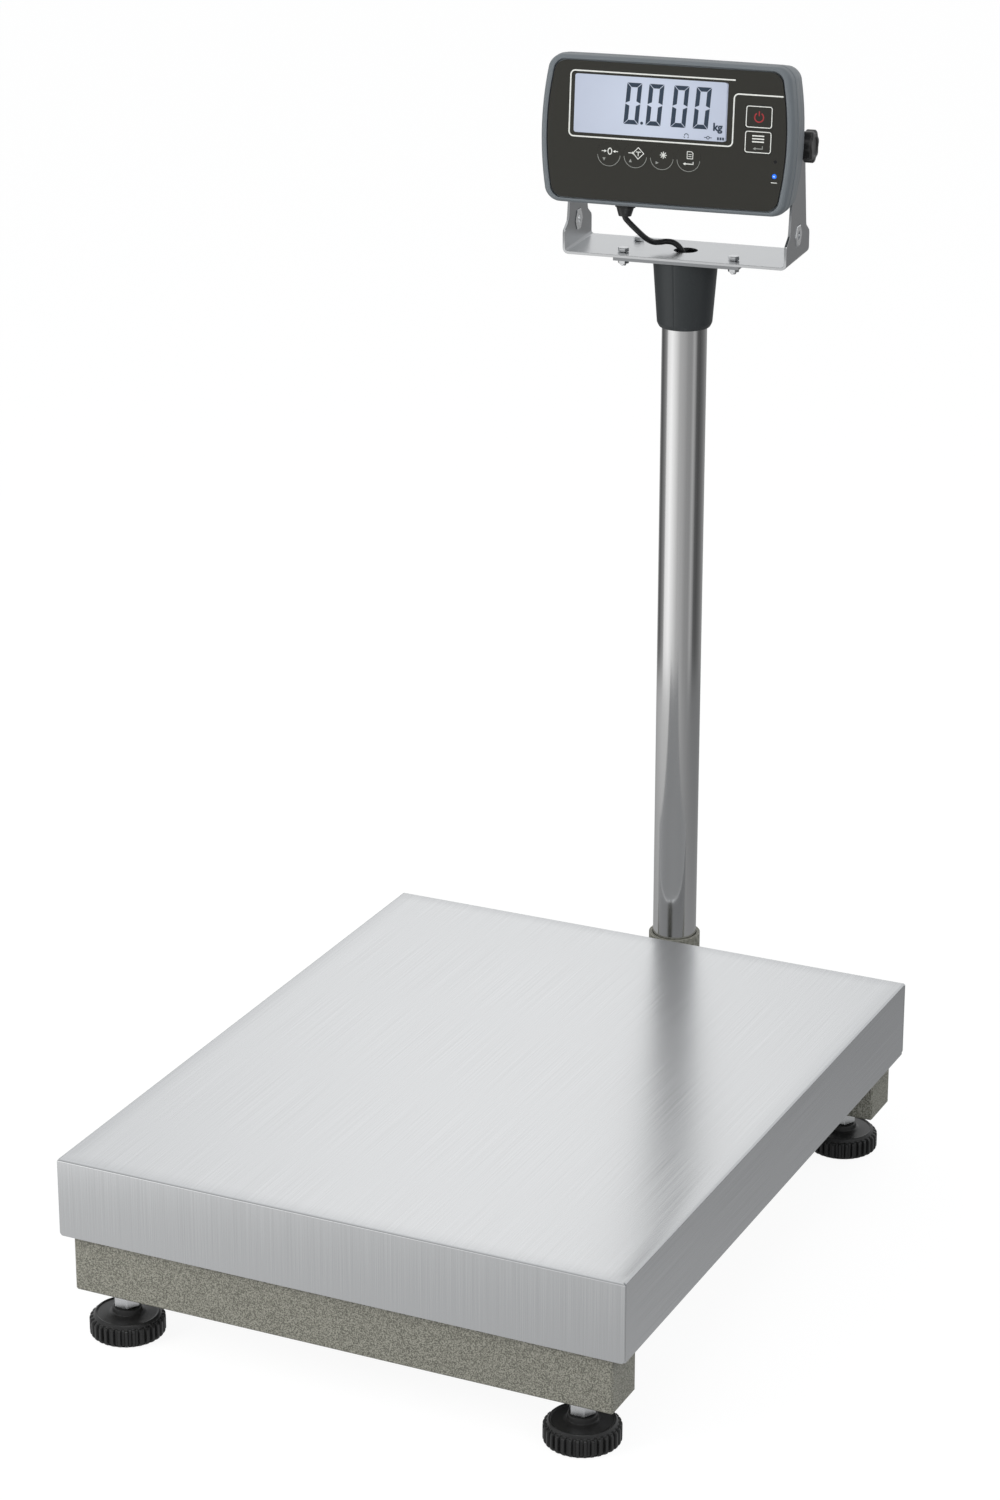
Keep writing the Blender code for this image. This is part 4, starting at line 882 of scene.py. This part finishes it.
def build_round_key(key):
    """A flat disc that all but fills its hole, so that only the printed arc below shows it."""
    centre = HEAD.inverted() @ Vector(sum(np.array(corner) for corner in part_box(key)) / 2) / MM
    profile = [(FILM_FRONT, 0), (FILM_FRONT, PAD_RADIUS), (FILM_FRONT + PAD, PAD_RADIUS),
               (FILM_FRONT + PAD, 0)]
    disc = turned_on_head(f"{key}_pad", profile, (centre.x, centre.z), "film", columns=96)
    return stands_for(disc, key)


refined("panel_film", "film", 0)
for key in ("key_power", "key_mode"):
    refined(key, "film", 0.12)
for key in ("key_zero", "key_tare", "key_function", "key_print"):
    build_round_key(key)
refined("display_module", "display_glass", 0.2)
refined("power_led", "led_lens", 0.1)
print("film front at", round(FILM_FRONT, 2), "mm from the tilt axis")


# %% Ink: strokes and filled shapes
def stroke(path, width, closed=False):
    """Points and quads of a flat stroke: each point is set off by half the width to both sides
    along the mitred normal, n = (n1 + n2) / (1 + n1 . n2)."""
    path = np.asarray(path, float)
    step = np.roll(path, -1, axis=0) - path
    if not closed:
        step[-1] = step[-2]
    step /= np.linalg.norm(step, axis=1, keepdims=True)
    normal = spread(-step[:, 1], step[:, 0])
    before = np.roll(normal, 1, axis=0)
    if not closed:
        before[0] = normal[0]
    mitre = (normal + before) / (1 + (normal * before).sum(axis=1, keepdims=True))
    sides = np.stack([path - mitre * width / 2, path + mitre * width / 2])
    return sides.reshape(-1, 2), grid_faces(2, len(path), False, closed)


def arc_path(u, v, radius, start, stop, steps=33):
    """Points of an arc, in degrees."""
    t = np.radians(np.linspace(start, stop, steps))
    return spread(u + radius * np.cos(t), v + radius * np.sin(t))


def circle(u, v, radius, steps=16):
    """A circle as a loop."""
    return arc_path(u, v, radius, 0, 360, steps + 1)[:-1]


def lines(at, width, *paths, closed=False):
    """Strokes along several paths, whose (0, 0) is moved to a place on the face."""
    return [(np.array(path, float) + at, width, closed) for path in paths]


def round_box(u, v, half_u, half_v, radius, steps=6):
    """A rounded rectangle as a loop."""
    du, dv = half_u - radius, half_v - radius
    quarters = ((1, 1, 0), (-1, 1, 90), (-1, -1, 180), (1, -1, 270))
    return np.concatenate([arc_path(u + su * du, v + sv * dv, radius, a, a + 90, steps)
                           for su, sv, a in quarters])


def ink(name, strokes, fills, material, front=FILM_FRONT - INK_PROUD, body="head"):
    """One piece of print from several strokes and filled loops, all in millimetres on the face."""
    points, faces, count = [], [], 0
    shapes = [stroke(*line) for line in strokes] + [(loop, [range(len(loop))]) for loop in fills]
    for flat, cells in shapes:
        points.append(np.asarray(flat, float))
        faces += [[int(i) + count for i in cell] for cell in cells]
        count += len(flat)
    mesh = bpy.data.meshes.new(name)
    mesh.from_pydata(on_head(on_face(np.concatenate(points), front)).tolist(), [], faces)
    bm = bmesh.new()
    bm.from_mesh(mesh)
    outward = HEAD.to_3x3() @ Vector((0, -1, 0))
    bm.normal_update()
    bmesh.ops.reverse_faces(bm, faces=[f for f in bm.faces if f.normal.dot(outward) < 0])
    bm.to_mesh(mesh)
    bm.free()
    mesh.materials.append(MATERIALS[material])
    piece = linked(name, mesh)
    wall = piece.modifiers.new("ink", "SOLIDIFY")
    wall.thickness = INK_THICK * MM
    wall.offset = -1
    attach(piece, body)
    return piece


# %% [markdown]
# A pale line frames the display and runs on to the right, where its two branches leave a bare
# tab. Below, each round key is marked by the lower half of its circle, with its sign above.

# %% Print on the film
FRAME_LEFT, FRAME_RIGHT, FRAME_TOP, FRAME_LOW = -69.0, 47.3, 40.0, -4.6
TAB_LINE, TAB_END = 30.9, 81.5
KEY_U = {"key_zero": -39.8, "key_tare": -20.9, "key_function": -2.0, "key_print": 16.9}
KEY_V, KEY_R = -15.4, 8.1
SQUARE_U, SQUARE_V = 65.2, {"key_power": 16.4, "key_mode": -0.5}


def display_frame():
    """Line from the tab over the display, down its left side, back below it and up to the tab."""
    r = 3.2
    return np.concatenate([
        [(FRAME_RIGHT + 0.4, FRAME_TOP)],
        arc_path(FRAME_LEFT + r, FRAME_TOP - r, r, 90, 180, 8),
        arc_path(FRAME_LEFT + r, FRAME_LOW + r, r, 180, 270, 8),
        arc_path(FRAME_RIGHT - r, FRAME_LOW + r, r, 270, 360, 8),
        arc_path(FRAME_RIGHT + r, TAB_LINE - r, r, 180, 90, 8),
        [(TAB_END, TAB_LINE)]])


def arrow(u, v, length, head, turn=0.0):
    """An arrow that points along +u, turned by an angle: shaft path and filled head."""
    c, s = math.cos(math.radians(turn)), math.sin(math.radians(turn))
    neck, half = length - head, head * 0.55
    shape = np.array([(0, 0), (neck, 0), (neck, half), (neck, -half), (length, 0)])
    shape = shape @ np.array([[c, s], [-s, c]]) + (u, v)
    return shape[:2], shape[2:]


ink("display_line", lines((0, 0), 0.95, display_frame()), [], "print_pale")
ink("key_arcs", [(arc_path(u, KEY_V, KEY_R, 184, 356), 0.34, False) for u in KEY_U.values()], [],
    "print_grey")


def triangle(u, v, turn):
    """A small filled triangle that points the way of the angle."""
    t = np.radians(np.array([0, 130, 230]) + turn)
    return spread(u + 1.35 * np.cos(t), v + 1.35 * np.sin(t))


ink("key_triangles", [], [triangle(KEY_U["key_zero"] - 3.4, KEY_V - 3.4, 270),
                          triangle(KEY_U["key_tare"] - 3.4, KEY_V - 3.6, 90),
                          triangle(KEY_U["key_function"] - 3.4, KEY_V - 3.6, 0)], "print_grey")
print("print: line, arcs and triangles")


# %% Key signs
def zero_sign(u, v):
    """A nought between two arrows that point at it."""
    nought = circle(0, 0, 1, 24) * (1.35, 2.1)
    (left, left_tip), (right, right_tip) = (arrow(u + sign * 5.8, v, 3.6, 1.7, 90 + sign * 90)
                                            for sign in (-1, 1))
    return [*lines((u, v), 0.62, nought, closed=True), *lines((0, 0), 0.5, left, right)], [
        left_tip, right_tip]


def tare_sign(u, v):
    """A diamond with a pan line in it and an arrow that points at it."""
    at, (side, tip) = (u + 1.6, v), arrow(u - 5.4, v, 4.4, 1.7)
    return [*lines(at, 0.5, [(3.9, 0), (0, 3.9), (-3.9, 0), (0, -3.9)], closed=True),
            *lines(at, 0.5, [(-1.7, 0.9), (1.7, 0.9)], [(0, 0.9), (0, -2.0)]),
            *lines((0, 0), 0.5, side)], [tip]


def star_sign(u, v):
    """Eight short rays."""
    rays = [2.4 * np.array([math.cos(t), math.sin(t)]) for t in np.radians((0, 45, 90, 135))]
    return lines((u, v), 0.55, *((-ray, ray) for ray in rays)), []


def page_sign(u, v):
    """A sheet of paper with two lines on it, and a bent arrow below it."""
    sheet = [(-2.0, 2.6), (1.0, 2.6), (2.0, 1.6), (2.0, -2.2), (-2.0, -2.2)]
    return [*lines((u, v), 0.45, sheet, closed=True),
            *lines((u, v), 0.4, [(-1.1, 0.7), (1.1, 0.7)], [(-1.1, -0.7), (1.1, -0.7)]),
            *lines((u - 1.2, v), 0.6, [(3.6, -4.2), (3.6, -5.8), (-1.8, -5.8)])], [
        np.array([(-3.6, -5.8), (-1.8, -4.8), (-1.8, -6.8)]) + (u - 1.2, v)]


SIGNS = {"key_zero": zero_sign(KEY_U["key_zero"] + 0.6, -13.4),
         "key_tare": tare_sign(KEY_U["key_tare"] + 0.4, -13.6),
         "key_function": star_sign(KEY_U["key_function"] + 1.0, -13.6),
         "key_print": page_sign(KEY_U["key_print"] + 1.0, -12.6)}
for key, (strokes, fills) in SIGNS.items():
    ink(f"{key}_sign", strokes, fills, "print_pale", body=key)
for key, v in SQUARE_V.items():
    ink(f"{key}_frame", [(round_box(SQUARE_U, v, 8.9, 7.0, 1.5), 0.6, True)], [], "print_pale",
        body=key)
power, mode = ((SQUARE_U, v) for v in SQUARE_V.values())
ink("key_power_sign", lines(power, 0.85, arc_path(0, -0.3, 3.1, 122, 418), [(0, 0.6), (0, 3.9)]),
    [], "print_red", body="key_power")
ink("key_mode_sign", lines(mode, 0.85, *([(-4.2, y), (4.2, y)] for y in (4.2, 2.2, 0.2))), [],
    "print_pale", body="key_mode")
ink("key_mode_return", lines(mode, 0.55, [(3.2, -2.4), (3.2, -4.4), (-1.6, -4.4)]),
    [np.array([(-3.4, -4.4), (-1.6, -3.4), (-1.6, -5.4)]) + mode], "print_grey", body="key_mode")
ink("sensor_window", [], [circle(77.9, -12.9, 1.15, 24)], "sensor_lens")
ink("light_mark", lines((0, 0), 0.5, [(75.4, -27.0), (79.6, -27.0)]), [], "print_pale")
print("signs on", len(SIGNS) + 2, "keys")

# %% [markdown]
# ## Numbers on the display
# The display shows four seven-segment noughts with a point after the first, which is what a scale
# shows at rest. The digits lean a little, as on most such displays.

# %% Digits
DIGIT_LEFT = (-30.3, -14.6, 3.1, 18.9)
DIGIT_LOW, DIGIT_HIGH, DIGIT_WIDE = 5.8, 33.9, 10.6
LEAN = 1.9 / 28.1
BAR = 2.95
GLASS_AT, GLASS_HALF = (-11.9, 18.0), (53.9, 19.9)    # clear part of the film over the display


def leaned(points, left):
    """Shear: u' = left + u + lean x (v - low)."""
    u, v = np.asarray(points, float).T
    return spread(left + u + LEAN * (v - DIGIT_LOW), v)


def nought(left):
    """The six outer segments of a digit, each a bar with mitred ends and a small gap."""
    w, lo, hi, b, g = DIGIT_WIDE, DIGIT_LOW, DIGIT_HIGH, BAR, 0.28
    mid = (lo + hi) / 2
    shapes = [[(g, hi), (w - g, hi), (w - b - g, hi - b), (b + g, hi - b)],
              [(b + g, lo + b), (w - b - g, lo + b), (w - g, lo), (g, lo)]]
    for x0, x1 in ((0, b), (w, w - b)):
        shapes.append([(x0, hi - g), (x1, hi - b - g), (x1, mid + 1.6), (x0, mid + g)])
        shapes.append([(x0, mid - g), (x1, mid - 1.6), (x1, lo + b + g), (x0, lo + g)])
    return [leaned(shape, left) for shape in shapes]


GLASS_FRONT = FILM_FRONT - 0.02
LIGHT_FRONT = FACE_Y - 0.1
pane = round_box(*GLASS_AT, *GLASS_HALF, 1.6)
pane = [on_face(pane, depth) for depth in (GLASS_FRONT, FILM_FRONT + 0.3)]
window = make_piece("display_window", on_head(np.concatenate(pane)), capped_faces(2, len(pane[0])),
                    "display_glass")
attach(window, "head")
digits = [shape for left in DIGIT_LEFT for shape in nought(left)]
point = circle(-17.3, 7.0, 1.05)
cells = [np.array([(0, 0), (1.3, 0), (1.3, 1.9), (0, 1.9)]) + (36.4 + 1.8 * i, -0.9)
         for i in range(3)]
FINE = 0.5
level = [(circle(30.0, 0.3, 0.95), FINE, True),
         *lines((0, 0), FINE, [(27.2, 0.3), (28.8, 0.3)], [(31.2, 0.3), (32.8, 0.3)],
                arc_path(14.7, 0.6, 1.4, 0, 180, 9), [(13.0, 0.0), (13.7, -0.9)],
                [(16.4, 0.0), (15.7, -0.9)])]
ink("display_digits", level, [*digits, point, *cells], "segment_ink",
    GLASS_FRONT - INK_PROUD)


def unit_text():
    """The unit beside the number: text made a mesh, then laid on the glass."""
    curve = bpy.data.curves.new("display_unit", "FONT")
    curve.body = "kg"
    curve.size = 7.2 * MM
    curve.extrude = 0.02 * MM
    curve.offset = 0.28 * MM
    holder = linked("display_unit_text", curve)
    bpy.context.view_layer.update()
    graph = bpy.context.evaluated_depsgraph_get()
    mesh = bpy.data.meshes.new_from_object(holder.evaluated_get(graph))
    bpy.data.objects.remove(holder, do_unlink=True)
    place = Vector((33.2, GLASS_FRONT - 0.04, FACE_Z + 5.4)) * MM
    mesh.transform(HEAD @ Matrix.Translation(place) @ Matrix.Rotation(math.pi / 2, 4, "X"))
    mesh.materials.clear()
    mesh.materials.append(MATERIALS["segment_ink"])
    piece = linked("display_unit", mesh)
    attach(piece, "head")


unit_text()
ink("light_core", [], [circle(77.5, -22.8, 0.55)], "light_core", LIGHT_FRONT)
print("display:", len(DIGIT_LEFT), "digits")

# %% [markdown]
# ## Signal cable
# A thin black cable leaves the gland under the head, sags onto the bracket plate and goes through the hole into
# the column. Out of sight it runs down the column, forward in the base and up to the load cell. It is built in two
# halves that meet inside the column.

# %% Cable
CABLE_RADIUS = 2.0 * MM
PLATE_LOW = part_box("head_flange")[1][2] + GAP * MM
GLAND_TO_PLATE = [(-35.0, -27.0, FACE_Z - d) for d in (45.0, 55.0, 61.0)]
OVER_PLATE = [(-33.0, -30.6, 26.6), (-28.4, -27.0, 20.6), (-23.6, -20.6, 13.6), (-19.8, -14.6, 9.6),
              (-15.6, -9.8, 8.7), (-12.2, -6.9, 8.8), (-8.0, -4.3, 7.8), (-4.0, -2.4, 4.4),
              (-1.0, -0.8, -1.6), (0, 0, -9.0), (0, 0, -33.6)]
INTO_COLUMN = [(x * MM, y * MM, PLATE_LOW + z * MM) for x, y, z in OVER_PLATE] + [(0, 0, 0.3500)]
DOWN_COLUMN = [(0, 0, 0.3500), (0, 0, 0.0900), (0, 0, 0.0600)]
COLUMN_BACK = PIVOT.y - PAN_CENTRE[1]
UNDER_COLUMN = ((2, 51.5), (8, 48), (20, 47.5), (55, 48))            # from its axis, height
TO_CELL = ((200, 48), (112, 48), (100, 51), (95.5, 58), (94, 68), (89, 77), (80, 80), (65.6, 80.2))
IN_BASE = [(0, COLUMN_BACK - y * MM, z * MM) for y, z in UNDER_COLUMN]
IN_BASE += [(0, y * MM, z * MM) for y, z in TO_CELL]


def smooth_path(points, steps):
    """Catmull-Rom curve: between b and c, p(t) = 1/2 (2b + (c-a)t + (2a-5b+4c-d)t^2 +
    (3b-a-3c+d)t^3)."""
    p = np.asarray(points, float)
    p = np.concatenate([[2 * p[0] - p[1]], p, [2 * p[-1] - p[-2]]])
    a, b, c, d = (p[i:len(p) - 3 + i, None] for i in range(4))
    t = np.linspace(0, 1, steps, endpoint=False)[None, :, None]
    curve = 0.5 * (2 * b + (c - a) * t + (2 * a - 5 * b + 4 * c - d) * t ** 2
                   + (3 * b - a - 3 * c + d) * t ** 3)
    return np.concatenate([curve.reshape(-1, 3), p[-2:-1]])


def tube_along(name, path, radius, material, columns=20):
    """A tube: each ring is path + r (n cos a + b sin a), where n is carried along the path by
    projecting the last one off the new tangent, so that the tube doesn't twist."""
    tangent = np.gradient(path, axis=0)
    tangent /= np.linalg.norm(tangent, axis=1, keepdims=True)
    normals = [np.cross(tangent[0], (0.3, 1.0, 0.2))]
    for t in tangent[1:]:
        normals.append(normals[-1] - t * (normals[-1] @ t))
        normals[-1] /= np.linalg.norm(normals[-1])
    n = np.array(normals)
    n /= np.linalg.norm(n, axis=1, keepdims=True)
    b = np.cross(tangent, n)
    a = around(columns)[None, :, None]
    grid = path[:, None] + radius * (n[:, None] * np.cos(a) + b[:, None] * np.sin(a))
    return make_piece(name, grid, capped_faces(len(path), columns), material)


def build_cable():
    """Both halves of the cable, built as tubes along their paths, and the length of each."""
    upper_points = np.concatenate([on_head(GLAND_TO_PLATE), placed(INTO_COLUMN, COLUMN)])
    upper = smooth_path(upper_points, 12)
    lower = smooth_path(np.concatenate([placed(DOWN_COLUMN, COLUMN), placed(IN_BASE, BASE)]), 8)
    top = tube_along("signal_cable_upper", upper, CABLE_RADIUS, "cable_jacket")
    run = tube_along("signal_cable_lower", lower, CABLE_RADIUS, "cable_jacket", 12)
    for piece in (top, run):
        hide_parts("signal_cable")
    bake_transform(top)
    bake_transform(run)
    length = float(np.linalg.norm(np.diff(upper, axis=0), axis=1).sum())
    return length, float(np.linalg.norm(np.diff(lower, axis=0), axis=1).sum())


print("cable:", [round(v, 3) for v in build_cable()], "m")
